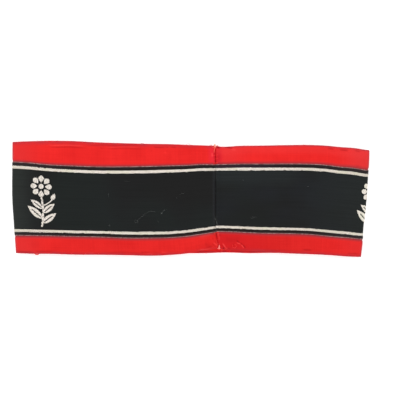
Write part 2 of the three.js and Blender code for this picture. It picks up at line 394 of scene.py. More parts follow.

# Patches where the red cloth is painted darker (below 0) or lighter; those beside the seam are painted shade and
# highlight
patchColumns = ["patchX", "patchY", "reachX", "reachY", "share"]
patchRows = [
    [-14.0, 31.0, 16.0, 9.0, -0.06],
    [18.6, 28.6, 1.7, 4.0, -0.24],
    [19.6, 28.2, 0.8, 1.8, -0.12],
    [14.7, 29.6, 0.6, 0.9, 0.10],
    [18.6, 34.9, 1.6, 0.7, -0.40],
    [15.9, -24.6, 2.2, 1.5, -0.14],
    [23.5, -28.0, 5.5, 3.0, -0.07],
    [32.0, -33.4, 9.0, 1.5, -0.10],
    [-105.5, -31.8, 2.6, 2.2, -0.12],
    [79.0, -34.7, 4.2, 0.8, -0.16],
    [113.0, 22.2, 1.8, 1.2, -0.14],
    [97.0, -34.0, 0.9, 0.6, -0.16],
    [-17.2, 31.2, 0.8, 0.6, 0.18],
    [-27.2, 32.6, 0.7, 0.6, -0.12],
    [-34.4, -36.5, 0.9, 0.5, 0.15],
    [-32.4, -36.5, 0.8, 0.5, -0.24],
    [-29.5, -36.4, 0.9, 0.5, -0.20],
    [-28.4, -37.3, 1.8, 0.4, 0.14],
    [-23.1, -36.6, 0.8, 0.6, -0.24],
    [-21.2, -36.5, 0.8, 0.5, -0.22],
    [-18.3, -36.4, 1.6, 0.4, 0.16],
    [-18.1, -37.6, 1.6, 0.4, -0.26],
    [-35.6, -37.6, 1.5, 0.4, -0.20],
    [-66.9, -36.9, 2.4, 0.5, 0.14],
    [-63.2, -37.1, 2.2, 0.4, -0.20],
    [-16.1, 32.5, 0.6, 0.6, -0.12],
]
# painted shadow on the half that lies on the floor, under the overhanging upper hem
lowerPatchRows = [
    [6.0, -36.4, 4.0, 1.4, -0.36],
]


def namedRows(columns, rows):
    return [dict(zip(columns, row)) for row in rows]


creases = namedRows(creaseColumns, creaseRows)
patches = namedRows(patchColumns, patchRows)
lowerPatches = namedRows(patchColumns, lowerPatchRows)


def waves(x, y, seed, pitch):
    # gentle waves that cross each other, about 1 high
    own = np.random.default_rng(seed)
    total = np.zeros(np.shape(x))
    for _ in range(relief["waveCount"]):
        turn = own.uniform(0, 2 * math.pi)
        length = pitch * own.uniform(*relief["wavePitches"])
        phase = own.uniform(0, 2 * math.pi)
        total += np.sin(2 * math.pi * (x * math.cos(turn) + y * math.sin(turn)) / length + phase)
    return total / math.sqrt(relief["waveCount"])


def creaseAt(x, y, fromX, fromY, toX, toY, halfWidth, height):
    dx, dy = toX - fromX, toY - fromY
    length = math.hypot(dx, dy)
    t = ((x - fromX) * dx + (y - fromY) * dy) / length**2
    off = ((x - fromX) * -dy + (y - fromY) * dx) / length
    off = off + crease["bend"] * halfWidth * np.sin(t * length / crease["bendPitch"])
    ends = smoothStep(*crease["start"], t) * smoothStep(*crease["end"], t)
    return height * ends * np.exp(-((off / halfWidth) ** 2))


def patchAt(x, y, patchX, patchY, reachX, reachY, share):
    return share * np.exp(-(((x - patchX) / reachX) ** 2) - ((y - patchY) / reachY) ** 2)


def paintedShadingAt(x, y, side):
    # how far the red cloth is painted darker (below 0) or lighter, from -1 to 1: painted shade in the creases'
    # grooves, painted highlight on their ridges, and the patches
    upper = np.zeros(np.shape(x))
    for row in creases:
        upper += creaseAt(x, y, **row) / crease["fullShadingHeight"]
    for row in patches:
        upper += patchAt(x, y, **row)
    under = sum(patchAt(x, y, **row) for row in lowerPatches)
    return np.where(side == lower, under, np.clip(upper, -1, 1))


def reliefAt(x, y, z, side, v):
    # how far the cloth is lifted from its table height
    half = loop["halfWidth"]
    fromMiddle = np.abs(v)
    edge = smoothStep(relief["edgeFrom"], half, fromMiddle)
    upper = relief["panelHeight"] * waves(x, y, *relief["panelWaves"])
    upper = upper + relief["edgeHeight"] * edge * waves(x, y, *relief["edgeWaves"])
    upper = upper - relief["borderFall"] * smoothStep(relief["fallFrom"], half, fromMiddle)
    beyond = np.clip((fromMiddle - half) / relief["droopWidth"] + 1, 0, 1)
    upper = upper - relief["edgeDroop"] * beyond**2
    for row in creases:
        upper = upper + creaseAt(x, y, **row)
    under = relief["lowerHeight"] * (1 + np.clip(waves(x, y, *relief["lowerWaves"]), -1, 1)) / 2
    under = under + relief["floatRoom"] * smoothStep(*relief["floatRoomOver"], fromMiddle)
    return np.where(side == lower, under * smoothStep(*relief["lowerFade"], z),
                    upper * smoothStep(*relief["upperFade"], z))


def sideAt(s):
    return way[np.clip(np.searchsorted(way[:, 0], s), 0, len(way) - 1), -1]


def place(s, v, out=0.0):
    # the point at s along the cloth and v across it, standing out from the outermost face, all in mm
    s, v, out = np.broadcast_arrays(np.asarray(s, float), np.asarray(v, float), np.asarray(out, float))
    x, z, inX, inZ, top, wovenTop, wovenBottom, bottom = (
        np.interp(s, way[:, 0], way[:, k]) for k in range(1, 9)
    )
    side = sideAt(s)
    half, woven = loop["halfWidth"], loop["halfWoven"]
    y = np.where(
        v > woven,
        wovenTop + (v - woven) * (top - wovenTop) / (half - woven),
        np.where(
            v < -woven,
            wovenBottom + (v + woven) * (wovenBottom - bottom) / (half - woven),
            wovenBottom + (v + woven) * (wovenTop - wovenBottom) / (2 * woven),
        ),
    )
    across = (top - y) / (top - bottom)
    left, seam, right = (slant[name](across) for name in slantColumns[1:])

    def slanted(flatX):
        onLeft = left + (flatX - loop["leftX"]) * (seam - left) / (loop["seamX"] - loop["leftX"])
        onRight = seam + (flatX - loop["seamX"]) * (right - seam) / (loop["rightX"] - loop["seamX"])
        below = left + (flatX - loop["leftX"]) * (right - left) / (loop["rightX"] - loop["leftX"])
        return np.where(side == lower, below, np.where(side == upperLeft, onLeft, onRight))

    nearSeam = np.where(side == lower, 0, np.exp(-((x - loop["seamX"]) / relief["seamReach"]) ** 2))
    placedX = slanted(x - out * inX) + nearSeam * seamWander(y)
    return np.stack([placedX, y, z - out * inZ + reliefAt(slanted(x), y, z, side, v)], -1)


# The line that parts the panels when a real place is looked up, and how often the answer is improved
lookup = {"shift": -0.6, "lean": 0.03, "middleY": 10, "rounds": 14}


def clothAt(x, y):
    # s and v of the upper half under a real X and Y, or of its edge beside them
    parting = loop["seamX"] + lookup["shift"] + lookup["lean"] * (lookup["middleY"] - y)
    panel = "leftPanel" if x < parting else "rightPanel"
    s, v = float(alongAt(x, panel)), float(y)
    for _ in range(lookup["rounds"]):
        nearX, nearY, _ = place(s, v)
        s = float(np.clip(s + nearX - x, *marks[panel]))
        v = float(np.clip(v + y - nearY, -loop["halfWidth"], loop["halfWidth"]))
    return s, v


# Camera, floor and light

view = {
    "centre": (6.4, -0.9, 4.0),
    "distance": 1511.0,
    "lens": 200.0,
    "sensor": 36.0,
    "clip": (0.05, 20.0),
}


def addCamera():
    data = bpy.data.cameras.new("camera")
    data.lens = view["lens"]
    data.sensor_width = view["sensor"]
    data.clip_start, data.clip_end = view["clip"]
    camera = bpy.data.objects.new("camera", data)
    bpy.context.scene.collection.objects.link(camera)
    x, y, z = view["centre"]
    camera.location = (x * mm, y * mm, (z + view["distance"]) * mm)
    bpy.context.scene.camera = camera


light = {
    "world": 0.80,
    "floorWhite": 0.90,
    "floorGlow": 0.35,  # the floor is lit from below, as a light table is
    "floorDrop": -0.05,
    "floorSize": 8.0,
    "floorRoughness": 0.9,
    "keyPower": 14.0,
    "keySize": 1.1,
    "keyPlace": (-0.75, 1.05, 1.55),
    "fillPower": 18.0,
    "fillSize": 2.4,
    "fillPlace": (0.5, -0.6, 2.2),
}


def deselectAll():
    bpy.ops.object.select_all(action="DESELECT")


def addFloor():
    deselectAll()
    bpy.ops.mesh.primitive_plane_add(size=light["floorSize"], location=(0, 0, light["floorDrop"] * mm))
    floor = bpy.context.object
    floor.name = "floor"
    deselectAll()
    floor.data.materials.append(floorPaper())
    floor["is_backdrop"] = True


def floorPaper():
    paper = bpy.data.materials.new("floorPaper")
    paper.use_nodes = True
    shader = paper.node_tree.nodes["Principled BSDF"]
    white = light["floorWhite"]
    shader.inputs["Base Color"].default_value = (white, white, white, 1)
    shader.inputs["Roughness"].default_value = light["floorRoughness"]
    shader.inputs["Specular IOR Level"].default_value = 0.0
    shader.inputs["Emission Color"].default_value = (1, 1, 1, 1)
    shader.inputs["Emission Strength"].default_value = light["floorGlow"]
    return paper


def addArea(name, at, size, power):
    data = bpy.data.lights.new(name, "AREA")
    data.size = size
    data.energy = power
    lamp = bpy.data.objects.new(name, data)
    bpy.context.scene.collection.objects.link(lamp)
    lamp.location = at
    x, y, z = at
    lamp.rotation_euler = (math.atan2(math.hypot(x, y), z), 0, math.atan2(y, x) + math.pi / 2)


def addLight():
    world = bpy.data.worlds.new("world")
    bpy.context.scene.world = world
    world.use_nodes = True
    background = world.node_tree.nodes["Background"]
    background.inputs["Color"].default_value = (1, 1, 1, 1)
    background.inputs["Strength"].default_value = light["world"]
    addArea("keyLight", light["keyPlace"], light["keySize"], light["keyPower"])
    addArea("fillLight", light["fillPlace"], light["fillSize"], light["fillPower"])
    bpy.context.scene.view_settings.view_transform = "Standard"


addCamera()
addFloor()
addLight()
print("camera, floor and light are in place")


# Node helpers. An input that is a number is set on the socket, and one that is a socket is linked.

clothMap = "cloth"
bakeMap = "OFBake"
clothMapSize = 600.0  # millimetres of cloth to one unit of its map
nodeLayout = {"columns": 9, "wide": 220, "high": 160, "top": 260}
finishSockets = {
    "roughness": "Roughness",
    "specular": "Specular IOR Level",
    "sheen": "Sheen Weight",
    "sheenRoughness": "Sheen Roughness",
}


def screenColour(red, green, blue):
    parts = [c / 255 for c in (red, green, blue)]
    linear = [c / 12.92 if c <= 0.04045 else ((c + 0.055) / 1.055) ** 2.4 for c in parts]
    return (*linear, 1.0)


class Graph:
    def __init__(self, name):
        self.material = bpy.data.materials.new(name)
        self.material.use_nodes = True
        self.tree = self.material.node_tree
        self.shader = self.tree.nodes["Principled BSDF"]
        self.count = 0

    def node(self, kind, **settings):
        made = self.tree.nodes.new(kind)
        self.count += 1
        row, column = divmod(self.count, nodeLayout["columns"])
        made.location = (-nodeLayout["wide"] * (1 + column), nodeLayout["top"] - nodeLayout["high"] * row)
        for key, value in settings.items():
            setattr(made, key, value)
        return made

    def feed(self, socket, value):
        if isinstance(value, bpy.types.NodeSocket):
            self.tree.links.new(value, socket)
        else:
            socket.default_value = value

    def math(self, operation, first, second=None, clamp=False):
        made = self.node("ShaderNodeMath", operation=operation, use_clamp=clamp)
        self.feed(made.inputs[0], first)
        if second is not None:
            self.feed(made.inputs[1], second)
        return made.outputs[0]

    def ramp(self, value, low, high, fromValue=0.0, toValue=1.0):
        made = self.node("ShaderNodeMapRange", interpolation_type="SMOOTHSTEP")
        for name, number in zip(("Value", "From Min", "From Max", "To Min", "To Max"),
                                (value, low, high, fromValue, toValue)):
            self.feed(made.inputs[name], number)
        return made.outputs["Result"]

    def between(self, share, first, second):
        return self.ramp(share, 0.0, 1.0, first, second)

    def mix(self, share, first, second, blend="MIX"):
        made = self.node("ShaderNodeMix", data_type="RGBA", blend_type=blend)
        self.feed(made.inputs["Factor"], share)
        self.feed(made.inputs[6], first)
        self.feed(made.inputs[7], second)
        return made.outputs[2]

    def tinted(self, base, share, colour):
        return self.mix(share, base, screenColour(*colour))

    def washed(self, base, distance, wash, within=None):
        # a wash is a colour, a reach and its share: all of it up to the near end of the reach, and nothing
        # past the far end
        colour, reach, share = wash
        amount = self.ramp(distance, *reach, share, 0.0)
        if within is not None:
            amount = self.math("MULTIPLY", within, amount)
        return self.tinted(base, amount, colour)

    def toned(self, base, tone):
        # darker where the tone is below 1, and lighter above
        return self.mix(1.0, base, tone, "MULTIPLY")

    def noise(self, vector, scale=1.0, detail=2.0, roughness=0.5):
        made = self.node("ShaderNodeTexNoise")
        self.feed(made.inputs["Vector"], vector)
        self.feed(made.inputs["Scale"], scale)
        self.feed(made.inputs["Detail"], detail)
        self.feed(made.inputs["Roughness"], roughness)
        return made.outputs["Fac"]

    def stretched(self, vector, along, across):
        made = self.node("ShaderNodeMapping")
        self.feed(made.inputs["Vector"], vector)
        made.inputs["Scale"].default_value = (along, across, 1.0)
        return made.outputs["Vector"]

    def bump(self, height, depth, strength):
        made = self.node("ShaderNodeBump")
        self.feed(made.inputs["Height"], height)
        self.feed(made.inputs["Distance"], depth * mm)
        self.feed(made.inputs["Strength"], strength)
        return made.outputs["Normal"]

    def clothPlace(self):
        # the cloth's own map, and from it the millimetres along and across the cloth
        uv = self.node("ShaderNodeUVMap", uv_map=clothMap).outputs["UV"]
        split = self.node("ShaderNodeSeparateXYZ")
        self.feed(split.inputs[0], uv)
        along = self.math("MULTIPLY", split.outputs[0], clothMapSize)
        across = self.math("MULTIPLY", split.outputs[1], clothMapSize)
        return uv, along, across

    def finished(self, base, normal, settings):
        self.feed(self.shader.inputs["Base Color"], base)
        self.feed(self.shader.inputs["Normal"], normal)
        for key, socket in finishSockets.items():
            if key in settings:
                self.shader.inputs[socket].default_value = settings[key]
        return self.material


# Places on the cloth, as numbers for the materials

softEdge = 1.0  # millimetres each side of a border over which one half's number passes into the other's
grooveBlend = 0.7


def distanceFrom(graph, value, middle):
    return graph.math("ABSOLUTE", graph.math("SUBTRACT", value, middle))


def fromFold(graph, along, name):
    return distanceFrom(graph, along, sum(marks[name]) / 2)


def fromFolds(graph, along):
    return graph.math("MINIMUM", fromFold(graph, along, "leftFold"), fromFold(graph, along, "rightFold"))


def fromSeamLeft(graph, along):
    # how far from the panel's end that lies left of the seam
    return distanceFrom(graph, along, marks["leftPanel"][0])


def fromSeamRight(graph, along):
    return distanceFrom(graph, along, marks["rightPanel"][1])


def seamGroove(graph, along, start, share):
    # grows down the turned ends towards the line where they meet
    pastLeft = graph.math("SUBTRACT", marks["leftPanel"][0], along)
    pastRight = graph.math("SUBTRACT", along, marks["rightPanel"][1])
    return graph.ramp(graph.math("MAXIMUM", pastLeft, pastRight), start, start + grooveBlend, 0.0, share)


def onLowerHalf(graph, along):
    # 1 on the half that lies on the floor
    start, end = marks["lower"]
    pastStart = graph.ramp(along, start - softEdge, start + softEdge)
    beforeEnd = graph.ramp(along, end + softEdge, end - softEdge)
    return graph.math("MULTIPLY", pastStart, beforeEnd)


def onRightHalf(graph, along, left, right):
    # one number on the left panel and another on the right one
    return graph.ramp(along, *marks["rightFold"], left, right)


def onUpperBorder(graph, across, lowerNumber=0.0, upperNumber=1.0):
    return graph.ramp(across, -softEdge, softEdge, lowerNumber, upperNumber)


def byBorder(graph, along, across, numbers):
    upperNumbers, lowerNumbers = numbers
    onLower = onRightHalf(graph, along, *lowerNumbers)
    onUpper = onRightHalf(graph, along, *upperNumbers)
    return onUpperBorder(graph, across, onLower, onUpper)


# Red cotton: plain weave, duller at the folds, with painted shade on the rounded folds and along the rolled
# hems, and dust and painted shadow beside the woven band. The lower border is painted darker as shade, most of
# all beside the seam, and on the half that lies on the floor it is painted lighter against the shade there. The
# seam has painted light down its groove, a painted highlight on its left and painted shade on its right. Where
# numbers stand in pairs of pairs, they are for the left and right panel of the upper border, then of the lower
# one. A reach is where something starts to fade and where it ends, in millimetres, and a wash is a colour, its
# reach and its share.

redCotton = {
    "light": (224, 37, 35),
    "deep": (211, 30, 29),
    "groundRange": (0.32, 0.62),
    "streaks": (900, 12),
    "streakShare": 0.25,
    "mottle": (26.0, 3.0, 0.6),
    "mottleShare": 0.5,
    "dullLeft": (209, 43, 43),
    "dullRight": (214, 49, 50),
    "dullShares": ((0.80, 0.80), (0.80, 0.40)),
    "dullReach": (6.0, 28.0),
    "pink": ((220, 50, 52), (4.0, 26.0), 0.5),  # on the upper border, right of the seam
    "rose": ((222, 29, 34), (6.0, 46.0), 0.8),  # on the lower border, right of the seam
    "lowerFrom": (-24.0, -22.0),  # the lower border, below the woven band's edge
    # painted shade: the lower border darker away from the folds, and darker still near the seam
    "lowerShadeTone": 0.925,
    "lowerShadeReach": (5.0, 40.0),
    "seamShadeTone": 0.87,
    "seamReach": (12.0, 95.0),
    # a painted highlight left of the seam and painted shade right of it
    "highlightLeftOfSeam": ((219, 38, 60), (1.2, 5.0), 0.5),  # both on the upper border
    "shadeRightOfSeam": ((206, 16, 42), (1.2, 5.0), 0.5),
    # painted light that lifts the shade down the seam groove
    "paintedGroove": (244, 16, 36),
    "grooveFrom": 0.8,
    "grooveShare": 0.85,
    # painted light: the half that lies on the floor is lightened against the shade under the upper half
    "lowerHalfLight": 1.40,
    "faded": (228, 60, 60),  # along the upper hem, right of the seam
    "fadedFrom": (29.5, 34.5),
    "fadedShares": ((0.0, 0.26), (0.0, 0.0)),
    # painted shade on the rounded folds, where they turn away from the light
    "foldShade": ((176, 62, 70), (1.2, 4.4), 0.70),
    # dust and painted shadow of the woven band on the red beside it
    "dustAndShadow": (150, 53, 60),
    "dustAndShadowFrom": 24.2,
    "dustAndShadowTo": ((26.15, 27.0), (27.05, 26.9)),
    "dustAndShadowShares": ((0.84, 0.78), (0.94, 0.94)),
    # painted shade along the rolled hem edges, patchy and thinner near the seam
    "hemShade": (160, 46, 57),
    "hemShadeShares": ((0.74, 0.88), (0.74, 0.72)),
    "hemShadeWidths": ((3.6, 2.4), (3.5, 3.4)),
    "hemShadeNearSeam": (6.0, 40.0),
    "hemShadeAtSeam": ((0.70, 0.80), (0.35, 0.35)),  # it thins towards the seam
    "hemShadeSpots": (95, 240),
    "hemShadeUneven": (0.3, 0.7, 0.6, 1.25),
    "lowerHemShade": (1.2, 2.6, 0.52),  # where it fades and its share, on the half that lies on the floor
    # painted shade in the creases' grooves and patches, and painted highlight on their ridges
    "crease": (150, 14, 20),
    "paintedHighlight": (255, 96, 92),
    # painted shade between the threads
    "threadGapShade": ((150, 16, 24), (0.0, 0.5), 0.30),  # between the threads, by the height of the weave
    "edge": 38.35,  # the hem's edge, measured across the cloth
    "pitch": 0.42,
    "slub": (3200, 3200),
    "slubShare": 0.5,
    "weaveDepth": 0.09,
    "weaveStrength": 0.7,
    "roughness": 0.86,
    "specular": 0.08,
    "sheen": 0.06,
    "sheenRoughness": 0.5,
    "sheenTint": (255, 150, 140),
}
paintedShadingName = "paintedShading"


def plainWeave(graph, along, across):
    turn = math.pi / redCotton["pitch"]
    warp = graph.math("SINE", graph.math("MULTIPLY", along, turn))
    weft = graph.math("SINE", graph.math("MULTIPLY", across, turn))
    cross = graph.math("MULTIPLY", warp, weft)
    warpHigh = graph.math("ADD", graph.math("ABSOLUTE", warp), cross)
    weftHigh = graph.math("SUBTRACT", graph.math("ABSOLUTE", weft), cross)
    return graph.math("MULTIPLY", graph.math("MAXIMUM", warpHigh, weftHigh), 0.5)


def redGround(graph, uv):
    # the dyed cotton itself, with streaks along both threads and soft mottling
    fine, long = redCotton["streaks"]
    warpStreak = graph.noise(graph.stretched(uv, fine, long), detail=3.0)
    weftStreak = graph.noise(graph.stretched(uv, long, fine), detail=3.0)
    streak = graph.math("MULTIPLY", graph.math("ADD", warpStreak, weftStreak), redCotton["streakShare"])
    mottle = graph.math("MULTIPLY", graph.noise(uv, *redCotton["mottle"]), redCotton["mottleShare"])
    tone = graph.ramp(graph.math("ADD", streak, mottle), *redCotton["groundRange"])
    return graph.mix(tone, screenColour(*redCotton["deep"]), screenColour(*redCotton["light"]))


def redZones(graph, base, along, across):
    # slow changes of tone from place to place, and painted shade, light and highlight at the folds, borders and
    # seam
    fold = fromFolds(graph, along)
    seam = fromSeamRight(graph, along)
    onLower = graph.ramp(across, *redCotton["lowerFrom"], 1.0, 0.0)
    onUpper = graph.math("SUBTRACT", 1.0, onLower)
    upperRight = byBorder(graph, along, across, ((0.0, 1.0), (0.0, 0.0)))
    dull = graph.mix(upperRight, screenColour(*redCotton["dullLeft"]), screenColour(*redCotton["dullRight"]))
    dullShare = byBorder(graph, along, across, redCotton["dullShares"])
    base = graph.mix(graph.ramp(fold, *redCotton["dullReach"], dullShare, 0.0), base, dull)
    # painted shade on the rounded folds
    base = graph.washed(base, fold, redCotton["foldShade"])
    base = graph.washed(base, seam, redCotton["pink"], onUpper)
    base = graph.washed(base, seam, redCotton["rose"], onLower)
    # a painted highlight left of the seam and painted shade right of it
    base = graph.washed(base, fromSeamLeft(graph, along), redCotton["highlightLeftOfSeam"], onUpper)
    base = graph.washed(base, seam, redCotton["shadeRightOfSeam"], onUpper)
    # painted shade on the lower border, darker away from the folds and most of all near the seam
    seamShade = graph.ramp(seam, *redCotton["seamReach"], redCotton["seamShadeTone"], 1.0)
    lowerBorderShade = graph.ramp(fold, *redCotton["lowerShadeReach"], 1.0, redCotton["lowerShadeTone"])
    # on the half that lies on the floor, painted light against the shade under the upper half
    tone = graph.between(onLowerHalf(graph, along), graph.math("MULTIPLY", seamShade, lowerBorderShade),
                         redCotton["lowerHalfLight"])
    base = graph.mix(onLower, base, graph.toned(base, tone))
    # painted light that lifts the shade down the seam groove
    paintedGroove = seamGroove(graph, along, redCotton["grooveFrom"], redCotton["grooveShare"])
    return graph.tinted(base, paintedGroove, redCotton["paintedGroove"])


def redEdges(graph, base, uv, along, across):
    # dust and painted shadow beside the woven band, and patchy painted shade along the rolled hems
    def here(name):
        return byBorder(graph, along, across, redCotton[name])

    fromMiddle = graph.math("ABSOLUTE", across)
    faded = graph.ramp(fromMiddle, *redCotton["fadedFrom"], 0.0, here("fadedShares"))
    base = graph.tinted(base, faded, redCotton["faded"])
    # dust and painted shadow of the woven band on the red beside it
    dustAndShadow = graph.ramp(fromMiddle, redCotton["dustAndShadowFrom"], here("dustAndShadowTo"), here("dustAndShadowShares"), 0.0)
    base = graph.tinted(base, dustAndShadow, redCotton["dustAndShadow"])
    # patchy painted shade along the rolled hem edges, thinner near the seam
    seam = graph.math("MINIMUM", fromSeamLeft(graph, along), fromSeamRight(graph, along))
    thinned = graph.ramp(seam, *redCotton["hemShadeNearSeam"], here("hemShadeAtSeam"), 1.0)
    share = graph.math("MULTIPLY", here("hemShadeShares"), thinned)
    below = onLowerHalf(graph, along)
    lowerStart, lowerWidth, lowerShare = redCotton["lowerHemShade"]
    hemShade = graph.ramp(
        distanceFrom(graph, fromMiddle, redCotton["edge"]),
        graph.between(below, 0.0, lowerStart),
        graph.between(below, here("hemShadeWidths"), lowerWidth),
        graph.between(below, share, lowerShare),
        0.0,
    )
    spots = graph.noise(graph.stretched(uv, *redCotton["hemShadeSpots"]))
    uneven = graph.ramp(spots, *redCotton["hemShadeUneven"])
    return graph.tinted(base, graph.math("MULTIPLY", hemShade, uneven, clamp=True), redCotton["hemShade"])


def makeRedCotton():
    graph = Graph("redCotton")
    uv, along, across = graph.clothPlace()
    weave = plainWeave(graph, along, across)
    base = redZones(graph, redGround(graph, uv), along, across)
    base = redEdges(graph, base, uv, along, across)
    # painted shade in the creases' grooves and patches, and painted highlight on their ridges
    paintedShading = graph.node("ShaderNodeAttribute", attribute_name=paintedShadingName).outputs["Fac"]
    for name, sign in (("crease", -1.0), ("paintedHighlight", 1.0)):
        base = graph.tinted(base, graph.math("MULTIPLY", paintedShading, sign, clamp=True), redCotton[name])
    # painted shade between the threads
    base = graph.washed(base, weave, redCotton["threadGapShade"])
    slub = graph.noise(graph.stretched(uv, *redCotton["slub"]))
    surface = graph.math("ADD", weave, graph.math("MULTIPLY", slub, redCotton["slubShare"]))
    normal = graph.bump(surface, redCotton["weaveDepth"], redCotton["weaveStrength"])
    graph.shader.inputs["Sheen Tint"].default_value = screenColour(*redCotton["sheenTint"])
    return graph.finished(base, normal, redCotton)


# Black weave: fine ribs along the band, and a cream ground under the stripes, painted darker than the floats as
# the shade between them. It greys towards both folds, has a painted highlight at the left edge of the seam and
# painted shade at its right edge and down its groove, and painted light that lifts the groove's shade beside the
# stripes.

blackWeave = {
    "black": (23, 23, 23),
    "greenBlack": (24, 28, 27),
    "greenScale": 9.0,
    "greenRange": (0.42, 0.62),
    "blueBlack": (26, 28, 31),
    "blueScales": (12, 16),
    "blueRange": (0.40, 0.62),
    "blueOnLeft": 0.15,
    "rightGrey": ((30, 34, 33), (2.0, 60.0), 0.75),  # washes from each fold
    "leftGrey": ((37, 41, 39), (4.0, 22.0), 0.85),
    # a painted highlight where the left panel turns down into the seam
    "paintedHighlight": ((31, 32, 34), (0.7, 2.0), 0.7),
    "highlightPast": 0.5,  # its middle lies this far down the turned end
    "paleTop": ((31, 35, 36), (44.0, 60.0), 0.8),  # right of the seam, below the upper stripe
    "paleTopRise": (5.0, 15.0),
    # painted shade just right of the seam
    "seamShadeTone": 0.92,
    "seamReach": (1.0, 4.0),
    # painted shade down the seam groove
    "paintedGroove": (6, 9, 11),
    "grooveFrom": 0.6,
    "grooveShare": 0.9,
    "grooveFades": ((-14.0, -9.0, 0.15, 1.0), (12.0, 14.5, 1.0, 0.2)),  # towards each stripe
    "paintedGrooveLight": (36, 38, 38),  # painted light that lifts the groove's shade beside the stripes
    "paintedGrooveLightShare": 0.9,
    "paintedGrooveLightOver": ((12.5, 14.5), (-11.5, -13.5)),
    "border": (27, 21, 21),
    "lowerBorder": (29, 22, 20),
    "borderFrom": (0.6, 1.4),  # measured outwards from the middle of a stripe
    "warmEdge": (74, 28, 32),
    "warmFrom": (23.05, 23.75),
    "warmShare": 0.6,
    "violet": ((41, 29, 38), (14.0, 58.0), 0.9),  # on the upper border, right of the seam
    "dustyBorder": ((39, 33, 34), (4.0, 55.0), 0.9),
    # cream, painted darker than the floats as the shade between them
    "stripeGround": (186, 175, 160),
    "streaks": (14, 1100),
    "streakTones": (0.3, 0.7, 0.90, 1.10),
    "ribPitch": 0.26,
    "ribShare": 0.65,
    "crimpPitch": 0.52,
    "crimpShare": 0.35,
    "weaveDepth": 0.07,
    "weaveStrength": 0.7,
    "roughness": 0.78,
    "specular": 0.10,
    "sheen": 0.05,
    "sheenRoughness": 0.45,
}

stripe = {
    "middle": {1: 20.5, -1: -20.75},  # from the middle of the cloth to the middle of each stripe
    "width": {1: 1.9, -1: 1.72},
    "groundInside": 0.12,  # the cream ground stops this far inside the outer floats
}


def blackGround(graph, uv, along, across):
    # black that leans to green or blue in wide patches
    green = graph.ramp(graph.noise(uv, blackWeave["greenScale"]), *blackWeave["greenRange"])
    base = graph.mix(green, screenColour(*blackWeave["black"]), screenColour(*blackWeave["greenBlack"]))
    blue = graph.ramp(graph.noise(graph.stretched(uv, *blackWeave["blueScales"])), *blackWeave["blueRange"])
    onRight = onRightHalf(graph, along, blackWeave["blueOnLeft"], 1.0)
    base = graph.tinted(base, graph.math("MULTIPLY", onRight, blue), blackWeave["blueBlack"])
    base = graph.washed(base, fromFold(graph, along, "rightFold"), blackWeave["rightGrey"])
    base = graph.washed(base, fromFold(graph, along, "leftFold"), blackWeave["leftGrey"])
    # painted highlight on the turned edge left of the seam
    turnedEnd = marks["leftPanel"][0] - blackWeave["highlightPast"]
    base = graph.washed(base, distanceFrom(graph, along, turnedEnd), blackWeave["paintedHighlight"])
    seam = fromSeamRight(graph, along)
    base = graph.washed(base, seam, blackWeave["paleTop"], graph.ramp(across, *blackWeave["paleTopRise"]))
    # painted shade just right of the seam
    return graph.toned(base, graph.ramp(seam, *blackWeave["seamReach"], blackWeave["seamShadeTone"], 1.0))


def blackBorders(graph, base, along, across):
    # outside the stripes the black is warmer
    fromMiddle = graph.math("ABSOLUTE", across)
    outside = graph.ramp(fromMiddle, *(stripe["middle"][1] + past for past in blackWeave["borderFrom"]))
    onUpper = onUpperBorder(graph, across)
    border = graph.mix(onUpper, screenColour(*blackWeave["lowerBorder"]), screenColour(*blackWeave["border"]))
    border = graph.washed(border, fromFolds(graph, along), blackWeave["dustyBorder"])
    border = graph.washed(border, fromSeamRight(graph, along), blackWeave["violet"], onUpper)
    warm = graph.ramp(fromMiddle, *blackWeave["warmFrom"], 0.0, blackWeave["warmShare"])
    border = graph.tinted(border, warm, blackWeave["warmEdge"])
    return graph.mix(outside, base, border)


def underStripe(graph, across, side):
    fromStripe = distanceFrom(graph, across, stripe["middle"][side])
    return graph.math("LESS_THAN", fromStripe, stripe["width"][side] / 2 - stripe["groundInside"])


def ribbedWeave(graph, along, across):
    rib = graph.math("SINE", graph.math("MULTIPLY", across, math.pi / blackWeave["ribPitch"]))
    crimp = graph.math("SINE", graph.math("MULTIPLY", along, math.pi / blackWeave["crimpPitch"]))
    ribHeight = graph.math("MULTIPLY", graph.math("ABSOLUTE", rib), blackWeave["ribShare"])
    cross = graph.math("MULTIPLY", graph.math("MULTIPLY", rib, crimp), blackWeave["crimpShare"])
    return graph.math("ADD", ribHeight, cross)


def makeBlackWeave():
    graph = Graph("blackWeave")
    uv, along, across = graph.clothPlace()
    base = blackBorders(graph, blackGround(graph, uv, along, across), along, across)
    streak = graph.noise(graph.stretched(uv, *blackWeave["streaks"]), detail=3.0)
    base = graph.toned(base, graph.ramp(streak, *blackWeave["streakTones"]))
    # painted light that lifts the groove's shade beside the stripes
    nearStripes = graph.math("ADD", *(graph.ramp(across, *rise) for rise in blackWeave["paintedGrooveLightOver"]))
    grooveLight = graph.math("MULTIPLY", seamGroove(graph, along, 0.0, blackWeave["paintedGrooveLightShare"]), nearStripes)
    base = graph.tinted(base, grooveLight, blackWeave["paintedGrooveLight"])
    # cream ground under the stripes, painted darker as the shade between the floats
    underStripes = graph.math("ADD", *(underStripe(graph, across, side) for side in (1, -1)))
    base = graph.tinted(base, underStripes, blackWeave["stripeGround"])
    # painted shade down the seam groove
    paintedGroove = seamGroove(graph, along, blackWeave["grooveFrom"], blackWeave["grooveShare"])
    for fade in blackWeave["grooveFades"]:
        paintedGroove = graph.math("MULTIPLY", paintedGroove, graph.ramp(across, *fade))
    base = graph.tinted(base, paintedGroove, blackWeave["paintedGroove"])
    weave = ribbedWeave(graph, along, across)
    normal = graph.bump(weave, blackWeave["weaveDepth"], blackWeave["weaveStrength"])
    return graph.finished(base, normal, blackWeave)


# Yarns and threads: each yarn has a tint of its own, and patches vary slowly over the piece

